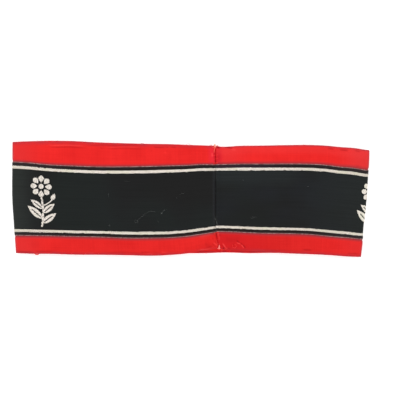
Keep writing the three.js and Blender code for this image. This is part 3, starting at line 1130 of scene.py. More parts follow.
yarnFinish = {
    "patchScale": 130.0,
    "patchRange": (0.45, 0.75),
    "strandScale": 5200.0,
    "strandDepth": 0.03,
    "strandStrength": 0.6,
    "roughness": 0.7,
    "specular": 0.15,
    "sheen": 0.05,
}
yarnTint = "yarnTint"

# Each one's dull and bright colour, and the colour and share of its patches
yarnColours = {
    "creamYarn": ((214, 206, 195), (241, 233, 225), (220, 223, 195), 0.55),
    "selvedgeYarn": ((112, 86, 82), (190, 162, 158), (150, 96, 98), 0.6),
    "blackThread": ((30, 30, 33), (52, 52, 56), (40, 38, 46), 0.4),
    "redThread": ((206, 28, 30), (240, 52, 48), (244, 84, 80), 0.3),
    "paleThread": ((242, 84, 76), (240, 184, 160), (232, 112, 100), 0.4),
    "pinkThread": ((244, 104, 98), (255, 186, 176), (236, 76, 74), 0.4),
    "greyLint": ((96, 98, 97), (138, 140, 138), (104, 112, 118), 0.4),
}


def makeYarn(name, dull, bright, patchColour, patchShare):
    graph = Graph(name)
    tint = graph.node("ShaderNodeAttribute", attribute_name=yarnTint).outputs["Fac"]
    base = graph.mix(tint, screenColour(*dull), screenColour(*bright))
    solid = graph.node("ShaderNodeTexCoord").outputs["Object"]
    blotches = graph.noise(solid, yarnFinish["patchScale"])
    patch = graph.ramp(blotches, *yarnFinish["patchRange"], 0.0, patchShare)
    base = graph.tinted(base, patch, patchColour)
    strands = graph.noise(solid, yarnFinish["strandScale"])
    normal = graph.bump(strands, yarnFinish["strandDepth"], yarnFinish["strandStrength"])
    return graph.finished(base, normal, yarnFinish)


redCottonCloth = makeRedCotton()
blackWeaveCloth = makeBlackWeave()
yarns = {name: makeYarn(name, *colours) for name, colours in yarnColours.items()}
print("materials are made")


# Meshes from arrays of points, in millimetres

def newPiece(name, points, faces, material, maps=(), values=()):
    # maps hold a place for each corner of each face, and values a number for each point
    mesh = bpy.data.meshes.new(name)
    mesh.from_pydata((points * mm).tolist(), [], [list(map(int, face)) for face in faces])
    mesh.update()
    for mapName, corners in maps:
        layer = mesh.uv_layers.new(name=mapName)
        layer.uv.foreach_set("vector", corners.astype(np.float32).ravel())
    for valueName, numbers in values:
        made = mesh.attributes.new(valueName, "FLOAT", "POINT")
        made.data.foreach_set("value", numbers.astype(np.float32))
    mesh.polygons.foreach_set("use_smooth", np.ones(len(mesh.polygons), bool))
    mesh.materials.append(material)
    piece = bpy.data.objects.new(name, mesh)
    bpy.context.scene.collection.objects.link(piece)
    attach(piece, "root")
    return piece


def gridFaces(columns, rows):
    # quads over a grid whose points run row by row within each column
    c, r = np.meshgrid(np.arange(columns - 1), np.arange(rows - 1), indexing="ij")
    corner = (c * rows + r).ravel()
    return np.stack([corner, corner + 1, corner + rows + 1, corner + rows], 1)


# How each piece is laid out on the square of its bake map
bakeLayout = {
    "sheetRows": 3,
    "sheetMargin": 0.01,
    "yarnMargin": 0.15,
    "yarnLean": 0.05,  # the yarns are seen a little aslant, so no face is seen edge on
    "threadMargin": 0.1,
}


def sheetMaps(faces, s, across):
    # the cloth's own map, and one that lays the strip out in rows that fill a square
    sheetRows, margin = bakeLayout["sheetRows"], bakeLayout["sheetMargin"]
    corners = faces.ravel()
    cloth = np.stack([s[corners], across[corners]], 1) / clothMapSize
    middle = s[faces].mean(1)
    rowLength = (s.max() - s.min()) / sheetRows
    row = np.clip(((middle - s.min()) / rowLength).astype(int), 0, sheetRows - 1)
    row = np.repeat(row, faces.shape[1])
    rightwards = (s[corners] - s.min() - row * rowLength) / rowLength
    upwards = (across[corners] - across.min()) / (across.max() - across.min())
    laidOut = np.stack([rightwards, (row + margin + (1 - 2 * margin) * upwards) / sheetRows], 1)
    return [(clothMap, cloth), (bakeMap, margin + (1 - 2 * margin) * laidOut)]


def intoCell(points, margin):
    # fits points into a unit cell, clear of its edges
    low, high = points.min(0), points.max(0)
    return margin + (1 - 2 * margin) * (points - low) / np.maximum(high - low, 1e-6)


def thicken(piece, thickness):
    # gives the sheet its wall, on the inner side of its face
    deselectAll()
    bpy.context.view_layer.objects.active = piece
    piece.select_set(True)
    solidify = piece.modifiers.new("wall", "SOLIDIFY")
    solidify.thickness = thickness * mm
    solidify.offset = -1.0
    solidify.use_even_offset = False
    solidify.use_quality_normals = True
    bpy.ops.object.modifier_apply(modifier=solidify.name)
    deselectAll()


def stops(start, end, step):
    return np.linspace(start, end, max(2, int(round(abs(end - start) / step)) + 1))


gridStep = {
    "allowance": 1.3,
    "turn": 0.3,
    "nearSeam": 0.5,
    "leftReach": 10.0,
    "rightReach": 22.0,
    "panel": 1.35,
    "fold": 0.7,
    "lower": 2.4,
}


def columnStops(trimEnds=0.0):
    # where the sheets' columns stand along the cloth
    left, right = marks["leftPanel"], marks["rightPanel"]
    leftNear, rightNear = gridStep["leftReach"], gridStep["rightReach"]
    parts = [
        stops(marks["leftAllowance"][0] + trimEnds, marks["leftAllowance"][1], gridStep["allowance"]),
        stops(*marks["leftTurn"], gridStep["turn"]),
        stops(left[0], left[0] + leftNear, gridStep["nearSeam"]),
        stops(left[0] + leftNear, left[1], gridStep["panel"]),
        stops(*marks["leftFold"], gridStep["fold"]),
        stops(*marks["lower"], gridStep["lower"]),
        stops(*marks["rightFold"], gridStep["fold"]),
        stops(right[0], right[1] - rightNear, gridStep["panel"]),
        stops(right[1] - rightNear, right[1], gridStep["nearSeam"]),
        stops(*marks["rightTurn"], gridStep["turn"]),
        stops(marks["rightAllowance"][0], marks["rightAllowance"][1] - trimEnds, gridStep["allowance"]),
    ]
    return np.unique(np.round(np.concatenate(parts), 5))


# The red band: one strip of cotton, its long edges turned in, its ends turned down into the seam

redBand = {
    "wall": 0.42,
    "borderDepth": 0.12,
    "underWoven": 0.58,
    "hemRadius": 0.50,
    "hemDepth": 7.0,
    "slopeFrom": 23.9,
    "slopeTo": 26.2,
    "slopeRows": (26.6, 23.6),  # the rows of points stand closer between these
    "slopeStep": 0.38,
    "borderStep": 0.46,
    "middleStep": 3.2,
    "flapStep": 1.1,
    "hemPoints": 9,
}


def redDepth(v):
    rise = smoothStep(redBand["slopeFrom"], redBand["slopeTo"], np.abs(v))
    return redBand["underWoven"] + rise * (redBand["borderDepth"] - redBand["underWoven"])


def redSection():
    # v and depth from the free edge of one hem, round its fold, over the face and round the other hem
    half, radius, depth = loop["halfWidth"], redBand["hemRadius"], redBand["borderDepth"]
    centre = half - radius
    angle = np.radians(np.linspace(-90, 90, redBand["hemPoints"]))
    fold = np.stack([centre + radius * np.cos(angle), depth + radius - radius * np.sin(angle)], 1)
    flapV = stops(half - redBand["hemDepth"], centre, redBand["flapStep"])[:-1]
    flap = np.stack([flapV, np.full(len(flapV), depth + 2 * radius)], 1)
    outer, inner = redBand["slopeRows"]
    faceV = np.concatenate([
        stops(centre, outer, redBand["borderStep"])[1:-1],
        stops(outer, inner, redBand["slopeStep"]),
        stops(inner, -inner, redBand["middleStep"])[1:-1],
        stops(-inner, -outer, redBand["slopeStep"]),
        stops(-outer, -centre, redBand["borderStep"])[1:-1],
    ])
    face = np.stack([faceV, redDepth(faceV)], 1)
    top = np.vstack([flap, fold])
    bottom = top[::-1] * [-1, 1]
    return np.vstack([top, face, bottom])


def makeRedBand():
    section = redSection()
    across = np.concatenate([[0], np.cumsum(np.hypot(*np.diff(section, axis=0).T))])
    across = across[-1] / 2 - across
    columns = columnStops()
    s = np.repeat(columns, len(section))
    v = np.tile(section[:, 0], len(columns))
    out = -np.tile(section[:, 1], len(columns))
    points = place(s, v, out)
    # painted shade and highlight for the red cloth, from its creases and patches
    paintedShading = paintedShadingAt(points[:, 0], points[:, 1], sideAt(s))
    faces = gridFaces(len(columns), len(section))[:, ::-1]
    maps = sheetMaps(faces, s, np.tile(across, len(columns)))
    piece = newPiece("redBand", points, faces, redCottonCloth, maps, [(paintedShadingName, paintedShading)])
    thicken(piece, redBand["wall"])
    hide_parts("base_band")


# The black woven band, sewn round the outside and turned into the same seam

wovenBand = {
    "wall": 0.46,
    "half": 23.75,
    "edgeDepth": 0.14,
    "edgeRound": 0.5,
    "endTrim": 0.6,
    "edgeStep": 0.17,
    "middleStep": 0.95,
}


def wovenDepth(v):
    half = wovenBand["half"]
    return wovenBand["edgeDepth"] * smoothStep(half - wovenBand["edgeRound"], half, np.abs(v))


def makeWovenBand():
    half = wovenBand["half"]
    flat = half - wovenBand["edgeRound"]
    v = np.concatenate([
        stops(half, flat, wovenBand["edgeStep"])[:-1],
        stops(flat, -flat, wovenBand["middleStep"]),
        stops(-flat, -half, wovenBand["edgeStep"])[1:],
    ])
    columns = columnStops(wovenBand["endTrim"])
    s = np.repeat(columns, len(v))
    acrossAll = np.tile(v, len(columns))
    points = place(s, acrossAll, -wovenDepth(acrossAll))
    faces = gridFaces(len(columns), len(v))[:, ::-1]
    maps = sheetMaps(faces, s, acrossAll)
    piece = newPiece("wovenBand", points, faces, blackWeaveCloth, maps)
    thicken(piece, wovenBand["wall"])
    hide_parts("woven_band")


makeRedBand()
makeWovenBand()


# One short length of yarn, fat in the middle and drawn in at both ends, made and then repeated

yarnShape = {"sides": 6, "rings": 4, "fullness": 1.22, "fullFrom": 0.1, "fullTo": 0.49}


def modelYarn():
    # of unit length and width
    deselectAll()
    bpy.ops.mesh.primitive_uv_sphere_add(
        segments=yarnShape["sides"],
        ring_count=yarnShape["rings"],
        radius=0.5,
    )
    yarn = bpy.context.object
    yarn.name = "yarnShape"
    bpy.ops.object.mode_set(mode="EDIT")
    bpy.ops.mesh.select_all(action="DESELECT")
    bpy.ops.object.mode_set(mode="OBJECT")
    for vertex in yarn.data.vertices:
        vertex.select = yarnShape["fullFrom"] < abs(vertex.co.z) < yarnShape["fullTo"]
    bpy.ops.object.mode_set(mode="EDIT")
    bpy.ops.transform.resize(value=(yarnShape["fullness"], yarnShape["fullness"], 1.0))
    bpy.ops.mesh.select_all(action="SELECT")
    bpy.ops.mesh.normals_make_consistent(inside=False)
    bpy.ops.object.mode_set(mode="OBJECT")
    points = np.array([v.co[:] for v in yarn.data.vertices])
    # on the cloth, along, across and out are left-handed, so the faces are turned round
    faces = [list(p.vertices)[::-1] for p in yarn.data.polygons]
    bpy.data.objects.remove(yarn, do_unlink=True)
    deselectAll()
    # its length, which ran up, runs along the cloth: along, across, out
    return points[:, [2, 0, 1]], faces


yarnPoints, yarnFaces = modelYarn()


def layYarns(s, v, out, length, width, height, turn):
    # lays a copy of the yarn at each place; turn is its angle from along the cloth, in radians
    s, v, out, length, width, height, turn = (
        np.asarray(one, float).reshape(-1, 1)
        for one in np.broadcast_arrays(s, v, out, length, width, height, turn)
    )
    ahead = yarnPoints[None, :, 0] * length
    aside = yarnPoints[None, :, 1] * width
    above = yarnPoints[None, :, 2] * height
    alongs = s + ahead * np.cos(turn) - aside * np.sin(turn)
    acrosses = v + ahead * np.sin(turn) + aside * np.cos(turn)
    return place(alongs.ravel(), acrosses.ravel(), (out + above).ravel())


def yarnFacesFor(count):
    size = len(yarnPoints)
    return [[k * size + corner for corner in face] for k in range(count) for face in yarnFaces]


def cellMap(local, faces, count):
    # each copy gets a cell of its own in a square of cells, for the bake
    side = math.ceil(math.sqrt(count))
    inCell = intoCell(local, bakeLayout["yarnMargin"])
    corner = np.concatenate([inCell[face] for face in faces])
    number = np.arange(count)
    cell = np.stack([number % side, number // side], 1)
    return ((cell[:, None] + corner[None]) / side).reshape(-1, 2)


def yarnPiece(name, sets, material):
    # a set's tint, where it has one, makes its yarns duller (below 0) or brighter
    shifts = [one.pop("tint", np.zeros(len(one["s"]))) for one in sets]
    points = np.vstack([layYarns(**one) for one in sets])
    count = len(points) // len(yarnPoints)
    tint = np.repeat(np.clip(rng.uniform(0, 1, count) + np.concatenate(shifts), 0, 1), len(yarnPoints))
    print(name, count, "yarns")
    seen = yarnPoints[:, :2] + bakeLayout["yarnLean"] * yarnPoints[:, 2:]
    maps = [(bakeMap, cellMap(seen, yarnFaces, count))]
    newPiece(name, points, yarnFacesFor(count), material, maps, [(yarnTint, tint)])


# Cream stripes: warp ends that float over the black, row beside row, with nicks along the edges

stripeFloat = {
    "ends": 5,
    "length": 1.30,
    "lengths": (0.88, 1.1),  # the shortest and longest float, as shares of the length
    "gap": 0.10,
    "fullness": 1.06,  # how far each float fills its own end
    "height": 0.20,
    "out": 0.05,
    "stagger": 0.382,
    "skipped": 0.09,
    "pastTurn": 3.0,
    "seamLift": 0.36,  # the floats crowd up where they turn down into the seam
    "seamLiftReach": 1.3,
    "strayAlong": 0.05,
    "strayAcross": 0.03,
    "outerStray": 0.04,
    "strayOut": 0.01,
    "strayTurn": 0.025,
}

# How wide, how bright and how far up the cloth each stripe runs, at sections along X
stripeColumns = ["x", "upperWide", "lowerWide", "upperTint", "lowerTint", "upperShift", "lowerShift"]
stripeRows = [
    [-113.0, 0.90, 1.03, -0.10, -0.65, 0.25, -0.10],
    [-100.0, 0.96, 0.98, -0.05, -0.40, 0.20, -0.20],
    [-88.0, 0.99, 1.00, 0.10, -0.10, 0.05, -0.10],
    [-68.0, 1.03, 1.05, 0.35, 0.10, 0.00, -0.10],
    [-55.0, 1.03, 1.06, 0.28, 0.00, -0.06, 0.05],
    [-34.0, 1.05, 1.12, 0.25, -0.10, -0.12, 0.10],
    [-15.0, 0.99, 1.10, 0.20, -0.15, -0.10, 0.05],
    [-4.0, 0.92, 1.06, 0.20, -0.20, -0.05, 0.08],
    [17.0, 1.00, 1.02, 0.00, -0.05, 0.00, 0.00],
    [34.0, 1.06, 1.03, 0.25, -0.25, -0.15, 0.00],
    [54.0, 1.03, 1.09, 0.10, -0.30, -0.05, 0.05],
    [72.0, 0.98, 1.00, 0.00, -0.15, -0.10, -0.05],
    [88.0, 0.98, 0.99, -0.10, -0.45, -0.05, 0.12],
    [104.0, 1.05, 1.12, -0.45, -0.20, 0.00, 0.00],
    [117.0, 1.07, 1.05, -0.65, -0.20, -0.10, 0.00],
]
stripeBody = tableCurves(stripeColumns, stripeRows)


def stripeFloats(side):
    name = "upper" if side > 0 else "lower"
    start = marks["leftAllowance"][1] - stripeFloat["pastTurn"]
    end = marks["rightAllowance"][0] + stripeFloat["pastTurn"]
    middle = stripe["middle"][side]
    last = stripeFloat["ends"] - 1
    pitch = stripe["width"][side] / stripeFloat["ends"]
    step = stripeFloat["length"] + stripeFloat["gap"]
    rows = []
    for k in range(stripeFloat["ends"]):
        fromStripe = (k - last / 2) * pitch
        offset = (k * stripeFloat["stagger"] % 1) * step
        s = np.arange(start + offset, end, step)
        s = s + rng.normal(0, stripeFloat["strayAlong"], len(s))
        outer = k in (0, last)
        s = s[rng.uniform(0, 1, len(s)) > stripeFloat["skipped"] * outer]
        fromSeam = np.minimum(np.abs(s - marks["leftPanel"][0]), np.abs(s - marks["rightPanel"][1]))
        lift = stripeFloat["seamLift"] * np.exp(-((fromSeam / stripeFloat["seamLiftReach"]) ** 2))
        x = place(s, middle)[:, 0]
        wide = stripeBody[name + "Wide"](x)
        v = middle + stripeBody[name + "Shift"](x) + fromStripe * wide
        stray = stripeFloat["strayAcross"] + stripeFloat["outerStray"] * outer
        rows.append(dict(
            s=s,
            v=v + rng.normal(0, stray, len(s)),
            out=stripeFloat["out"] + lift + rng.normal(0, stripeFloat["strayOut"], len(s)),
            length=stripeFloat["length"] * rng.uniform(*stripeFloat["lengths"], len(s)),
            width=pitch * stripeFloat["fullness"] * wide,
            height=stripeFloat["height"],
            turn=rng.normal(0, stripeFloat["strayTurn"], len(s)),
            tint=stripeBody[name + "Tint"](x),
        ))
    return rows


yarnPiece("creamStripes", stripeFloats(1) + stripeFloats(-1), yarns["creamYarn"])


# Flower sprigs: an upright stem with leaves turn about, a daisy and one bud, brocaded in cream weft floats

sprig = {
    "yarnPitch": 0.40,
    "stemWidth": 1.2,
    "stemFrom": -18.0,
    "stemTo": 2.6,
    "stemBow": 1.5,
    "stemBowHeight": 24.0,
    "stemShift": 0.4,
    "flowerCentre": (0.2, 9.0),
    "petals": 8,
    "petalFrom": 2.5,
    "petalTo": 7.4,
    "petalWidth": 3.7,
    "petalBlunt": 1.35,
    "eyeRadius": 1.75,
    "leafBlunt": 0.85,
    "leafFrom": 0.3,  # how far each leaf starts from the middle of the stem
    "roundness": 0.8,
    "midrib": 0.55,
    "midribOver": (0.10, 0.72),  # as shares of the leaf's length
    "longestFloat": 2.6,
    "shortestFloat": 0.3,
    "floatOverlap": 0.12,
    "floatStagger": 0.37,
    "floatFullness": 1.1,
    "floatHeight": 0.24,
    "out": 0.06,
    "strayAlong": 0.015,
    "strayAcross": 0.03,
    "strayOut": 0.01,
    "strayTurn": 0.012,
    "halfWide": 20,
    "halfHigh": 19,
    "fineStep": 0.05,
    "upperX": -101.0,
    "pastFold": 1.0,
}

# Leaves by the height of their foot on the stem, the side they lean to and the angle from upright
leafColumns = ["footY", "side", "angle", "length", "width"]
leafRows = [
    [-15.4, 1, 54, 11.5, 4.4],
    [-12.4, -1, 50, 12.5, 4.8],
    [-8.6, 1, 50, 10.0, 4.0],
    [-5.8, -1, 54, 9.5, 3.8],
]
bud = {
    "footY": -3.6,
    "stalkWidth": 0.9,
    "stalkBow": 1.6,
    "tip": (7.4, 0.2),
    "pastTip": 0.4,
    "angle": 24,
    "length": 4.8,
    "width": 2.9,
    "blunt": 0.8,
}


def stemX(y):
    bow = np.sin((y - sprig["stemFrom"]) / sprig["stemBowHeight"] * math.pi)
    return sprig["stemBow"] * bow - sprig["stemShift"]


def bladeShape(x, y, foot, angle, length, width, blunt):
    # inside a leaf or petal that starts at foot and points at an angle from upright
    turn = math.radians(angle)
    t = ((x - foot[0]) * math.sin(turn) + (y - foot[1]) * math.cos(turn)) / length
    off = (x - foot[0]) * math.cos(turn) - (y - foot[1]) * math.sin(turn)
    swell = np.sin(math.pi * np.clip(t, 0, 1) ** blunt) ** sprig["roundness"]
    inside = (t > 0) & (t < 1) & (np.abs(off) < width / 2 * swell)
    return inside, t, off


def leavesMask(x, y):
    inside = np.zeros(np.shape(x), bool)
    ribStart, ribEnd = sprig["midribOver"]
    for leaf in namedRows(leafColumns, leafRows):
        foot = (stemX(leaf["footY"]) + leaf["side"] * sprig["leafFrom"], leaf["footY"])
        angle = leaf["side"] * leaf["angle"]
        blade, t, off = bladeShape(x, y, foot, angle, leaf["length"], leaf["width"], sprig["leafBlunt"])
        rib = (np.abs(off) < sprig["midrib"] / 2) & (t > ribStart) & (t < ribEnd)
        inside = inside | (blade & ~rib)
    return inside


def budMask(x, y):
    footX = stemX(bud["footY"])
    tipX, tipY = bud["tip"]
    t = np.clip((x - footX) / (tipX - footX), 0, 1)
    stalkY = bud["footY"] + (tipY - bud["footY"]) * t ** bud["stalkBow"]
    stalk = (np.abs(y - stalkY) < bud["stalkWidth"] / 2) & (x > footX) & (x < tipX + bud["pastTip"])
    head = bladeShape(x, y, bud["tip"], bud["angle"], bud["length"], bud["width"], bud["blunt"])[0]
    return stalk | head


def flowerMask(x, y):
    centreX, centreY = sprig["flowerCentre"]
    start = sprig["petalFrom"]
    length = sprig["petalTo"] - start
    inside = np.hypot(x - centreX, y - centreY) < sprig["eyeRadius"]
    for k in range(sprig["petals"]):
        angle = 360 * k / sprig["petals"]
        turn = math.radians(angle)
        foot = (centreX + start * math.sin(turn), centreY + start * math.cos(turn))
        petal = bladeShape(x, y, foot, angle, length, sprig["petalWidth"], sprig["petalBlunt"])[0]
        inside = inside | petal
    return inside


def sprigMask(x, y):
    stem = (np.abs(x - stemX(y)) < sprig["stemWidth"] / 2) & (y > sprig["stemFrom"]) & (y < sprig["stemTo"])
    return stem | leavesMask(x, y) | budMask(x, y) | flowerMask(x, y)


def sprigFloats(centreS):
    # weft floats, one column of them for each pick; s runs against X
    fine = sprig["fineStep"]
    longest = sprig["longestFloat"]
    picks = np.arange(-sprig["halfWide"], sprig["halfWide"], sprig["yarnPitch"])
    heights = np.arange(-sprig["halfHigh"], sprig["halfHigh"], fine)
    found = {"s": [], "v": [], "length": []}
    for number, x in enumerate(picks):
        inside = sprigMask(np.full(len(heights), x), heights).astype(int)
        change = np.diff(np.concatenate([[0], inside, [0]]))
        for start, end in zip(np.flatnonzero(change == 1), np.flatnonzero(change == -1)):
            low, high = heights[start], heights[end - 1] + fine
            if high - low < sprig["shortestFloat"]:
                continue
            cuts = np.arange(low - longest * ((number * sprig["floatStagger"]) % 1), high, longest)
            ends = np.unique(np.clip(np.concatenate([[low], cuts, [high]]), low, high))
            for a, b in zip(ends[:-1], ends[1:]):
                if b - a < sprig["shortestFloat"]:
                    continue
                found["s"].append(centreS - x)
                found["v"].append((a + b) / 2)
                found["length"].append(b - a + sprig["floatOverlap"])
    count = len(found["s"])
    return dict(
        s=np.array(found["s"]) + rng.normal(0, sprig["strayAlong"], count),
        v=np.array(found["v"]) + rng.normal(0, sprig["strayAcross"], count),
        out=sprig["out"] + rng.normal(0, sprig["strayOut"], count),
        length=np.array(found["length"]),
        width=sprig["yarnPitch"] * sprig["floatFullness"],
        height=sprig["floatHeight"],
        turn=math.pi / 2 + rng.normal(0, sprig["strayTurn"], count),
    )


leftCentre = float(alongAt(sprig["upperX"], "leftPanel"))
rightCentre = sum(marks["rightFold"]) / 2 - sprig["pastFold"]
sprigSets = [sprigFloats(centre) for centre in (leftCentre, rightCentre)]
yarnPiece("flowerSprigs", sprigSets, yarns["creamYarn"])


# The woven band's selvedges: small dusty loops side by side, bedded between the black and the red

selvedge = {
    "pitch": 0.62,
    "length": 0.95,
    "width": 0.34,
    "height": 0.34,
    "out": -0.20,
    "across": 23.92,
    "slant": 0.45,
    "stray": 0.03,
    "strayOut": 0.02,
    "strayTurn": 0.08,
}


def selvedgeLoops(side):
    s = np.arange(marks["leftTurn"][0], marks["rightTurn"][1], selvedge["pitch"])
    return dict(
        s=s + rng.normal(0, selvedge["stray"], len(s)),
        v=side * selvedge["across"] + rng.normal(0, selvedge["stray"], len(s)),
        out=selvedge["out"] + rng.normal(0, selvedge["strayOut"], len(s)),
        length=selvedge["length"],
        width=selvedge["width"],
        height=selvedge["height"],
        turn=side * selvedge["slant"] + rng.normal(0, selvedge["strayTurn"], len(s)),
    )


yarnPiece("selvedgeLoops", [selvedgeLoops(1), selvedgeLoops(-1)], yarns["selvedgeYarn"])


# Machine stitches that hold the woven band on, with their undersides inside the loop

bandStitch = {
    "pitch": 2.4,
    "length": 2.1,
    "width": 0.26,
    "height": 0.20,
    "across": 23.1,
    "fromSeam": 0.8,
    "strayAcross": 0.05,
    "strayTurn": 0.03,
    # how far out the stitches lie and where they start, on the face and then inside the loop
    "rows": ((0.03, 0.0), (-1.04, 1.2)),
}


def stitchRow(side, out, startAt):
    start = marks["leftPanel"][0] + bandStitch["fromSeam"] + startAt
    end = marks["rightPanel"][1] - bandStitch["fromSeam"]
    s = np.arange(start, end, bandStitch["pitch"])
    return dict(
        s=s,
        v=side * bandStitch["across"] + rng.normal(0, bandStitch["strayAcross"], len(s)),
        out=out,
        length=bandStitch["length"],
        width=bandStitch["width"],
        height=bandStitch["height"],
        turn=rng.normal(0, bandStitch["strayTurn"], len(s)),
    )


stitchSets = [stitchRow(side, *row) for side in (1, -1) for row in bandStitch["rows"]]
yarnPiece("bandStitches", stitchSets, yarns["blackThread"])


# Hand stitches along both hems, slanting over the free edge of the flap inside

hemStitch = {
    "pitch": 4.6,
    "length": 2.4,
    "lengths": (0.85, 1.15),
    "width": 0.24,
    "height": 0.22,
    "across": 31.0,
    "out": -1.20,
    "slant": 0.9,
    "fromSeam": 2.0,
    "strayAlong": 0.35,
    "strayTurn": 0.12,
}


def hemStitches(side):
    start = marks["leftPanel"][0] + hemStitch["fromSeam"]
    end = marks["rightPanel"][1] - hemStitch["fromSeam"]
    s = np.arange(start, end, hemStitch["pitch"])
    s = s + rng.normal(0, hemStitch["strayAlong"], len(s))
    return dict(
        s=s,
        v=side * hemStitch["across"],
        out=hemStitch["out"],
        length=hemStitch["length"] * rng.uniform(*hemStitch["lengths"], len(s)),
        width=hemStitch["width"],
        height=hemStitch["height"],
        turn=side * (hemStitch["slant"] + rng.normal(0, hemStitch["strayTurn"], len(s))),
    )


yarnPiece("hemStitches", [hemStitches(1), hemStitches(-1)], yarns["redThread"])


# Loose threads and lint, each a closed tube along a smooth route. A route's points are real X and Y and the
# height above the cloth beneath, or beneath the nearest edge.

thread = {
    "step": 0.22,
    "fewestPoints": 4,
    "sides": 6,
    "endThinner": 0.55,
    "taperPower": 3,
    "plies": 2,
    "plyPitch": 1.5,
    "plyRadius": 0.55,  # both as shares of the whole thread's radius
    "plyOrbit": 0.5,
}


def smoothRoute(points, step=thread["step"]):
    points = np.array(points, float)
    length = np.sum(np.linalg.norm(np.diff(points, axis=0), axis=1))
    at = np.linspace(0, len(points) - 1, max(thread["fewestPoints"], int(length / step)))
    return np.stack([smoothCurve(range(len(points)), points[:, k])(at) for k in range(3)], 1)


def onCloth(route):
    lifted = []
    for x, y, lift in route:
        s, v = clothAt(x, y)
        lifted.append([x, y, place(s, v)[2] + lift])
    return smoothRoute(lifted)


def squareTo(path):
    # the two directions square to the route, at each of its points
    ahead = np.gradient(path, axis=0)
    ahead /= np.linalg.norm(ahead, axis=1, keepdims=True)
    across = np.cross(ahead, [0.0, 0.0, 1.0])
    across /= np.maximum(np.linalg.norm(across, axis=1, keepdims=True), 1e-6)
    return across, np.cross(across, ahead)


def tube(path, radius, sides=thread["sides"]):
    across, above = squareTo(path)
    turn = np.linspace(0, 2 * math.pi, sides, endpoint=False)[None, :, None]
    ring = across[:, None] * np.cos(turn) + above[:, None] * np.sin(turn)
    radius = np.broadcast_to(radius, len(path))[:, None, None]
    points = (path[:, None] + radius * ring).reshape(-1, 3)
    faces = [list(range(sides))]
    for k in range(len(path) - 1):
        for j in range(sides):
            near, far = k * sides + j, k * sides + (j + 1) % sides
            faces.append([near, near + sides, far + sides, far])
    last = (len(path) - 1) * sides
    faces.append([last + j for j in reversed(range(sides))])
    return points, faces


def taperedTube(path, radius, sides=thread["sides"]):
    t = np.linspace(-1, 1, len(path))
    return tube(path, radius * (1 - thread["endThinner"] * np.abs(t) ** thread["taperPower"]), sides)


def plied(path, radius):
    # strands that wind round each other along the route
    along = np.concatenate([[0], np.cumsum(np.linalg.norm(np.diff(path, axis=0), axis=1))])
    across, above = squareTo(path)
    strands = []
    for k in range(thread["plies"]):
        turn = (2 * math.pi * (along / thread["plyPitch"] + k / thread["plies"]))[:, None]
        shifted = path + radius * thread["plyOrbit"] * (across * np.cos(turn) + above * np.sin(turn))
        strands.append(taperedTube(shifted, radius * thread["plyRadius"]))
    return strands


def threadPiece(name, tubes, material, tintOf=None):
    # each thread has one tint, or tintOf gives it by place
    points = np.vstack([one for one, _ in tubes])
    faces, tints, cells = [], [], []
    side = math.ceil(math.sqrt(len(tubes)))
    first = 0
    for number, (one, own) in enumerate(tubes):
        faces += [[first + corner for corner in face] for face in own]
        tints.append(tintOf(one) if tintOf else np.full(len(one), rng.uniform()))
        inCell = intoCell(one[:, :2], bakeLayout["threadMargin"])
        corner = np.concatenate([inCell[face] for face in own])
        cells.append((corner + [number % side, number // side]) / side)
        first += len(one)
    print(name, len(tubes), "tubes")
    maps = [(bakeMap, np.vstack(cells))]
    newPiece(name, points, faces, material, maps, [(yarnTint, np.concatenate(tints))])


# The sewing thread that sticks out over the upper end of the seam

seamThread = {
    "radius": {"loop": 0.34, "tail": 0.20, "strand": 0.26},
    "palerFrom": (34.2, 36.4),  # the Y over which it gets paler
    "loop": [
        [15.7, 35.5, -0.6],
        [15.9, 36.3, 0.1],
        [16.4, 36.75, 0.5],
        [16.95, 36.2, 0.5],
        [16.9, 35.2, 0.4],
        [16.45, 34.2, 0.45],
        [16.1, 33.2, 0.35],
        [16.0, 32.2, 0.30],
        [15.95, 31.2, 0.10],
    ],
    "tail": [[14.9, 35.0, 0.1], [15.4, 34.6, 0.25], [16.1, 34.2, 0.3], [16.7, 33.8, 0.1]],
    "strand": [[16.2, 34.2, 0.1], [16.3, 35.2, 0.2], [16.3, 36.0, 0.1], [16.5, 36.5, 0.3]],
}


def seamThreadTint(points):
    return smoothStep(*seamThread["palerFrom"], points[:, 1])


seamTubes = []
for name, radius in seamThread["radius"].items():
    seamTubes += plied(onCloth(seamThread[name]), radius)
threadPiece("seamThread", seamTubes, yarns["paleThread"], seamThreadTint)


# The frayed end of the same thread near the lower end of the seam

frayedEnd = {
    "root": (19.5, -31.2),
    "spread": [-1.25, -0.85, -0.5, -0.2, 0.1, 0.4, 0.75],
    "length": [2.6, 2.9, 3.0, 3.05, 3.0, 2.8, 2.5],
    "radius": 0.14,
    "bow": 0.12,
    # each strand's points: shares of its spread, bow and length, and the height
    "points": [[0.0, 0, 0.0, 0.05], [0.22, 1, 0.45, 0.35], [0.7, 1, 0.85, 0.38], [1.0, 0, 1.0, 0.22]],
    "knot": (19.3, -33.3),
    "knotRadius": 0.30,
    "knotFlatness": 0.8,
    "knotTurns": 1.8,
    "knotPoints": 14,
    "knotHeight": 0.42,
    "knotRise": 0.05,
}


def knotRoute():
    knotX, knotY = frayedEnd["knot"]
    wide = frayedEnd["knotRadius"]
    high = frayedEnd["knotFlatness"] * wide
    route = []
    for turn in np.linspace(0, 2 * frayedEnd["knotTurns"] * math.pi, frayedEnd["knotPoints"]):
        height = frayedEnd["knotHeight"] + frayedEnd["knotRise"] * turn
        route.append([knotX + wide * math.cos(turn), knotY + high * math.sin(turn), height])
    return route


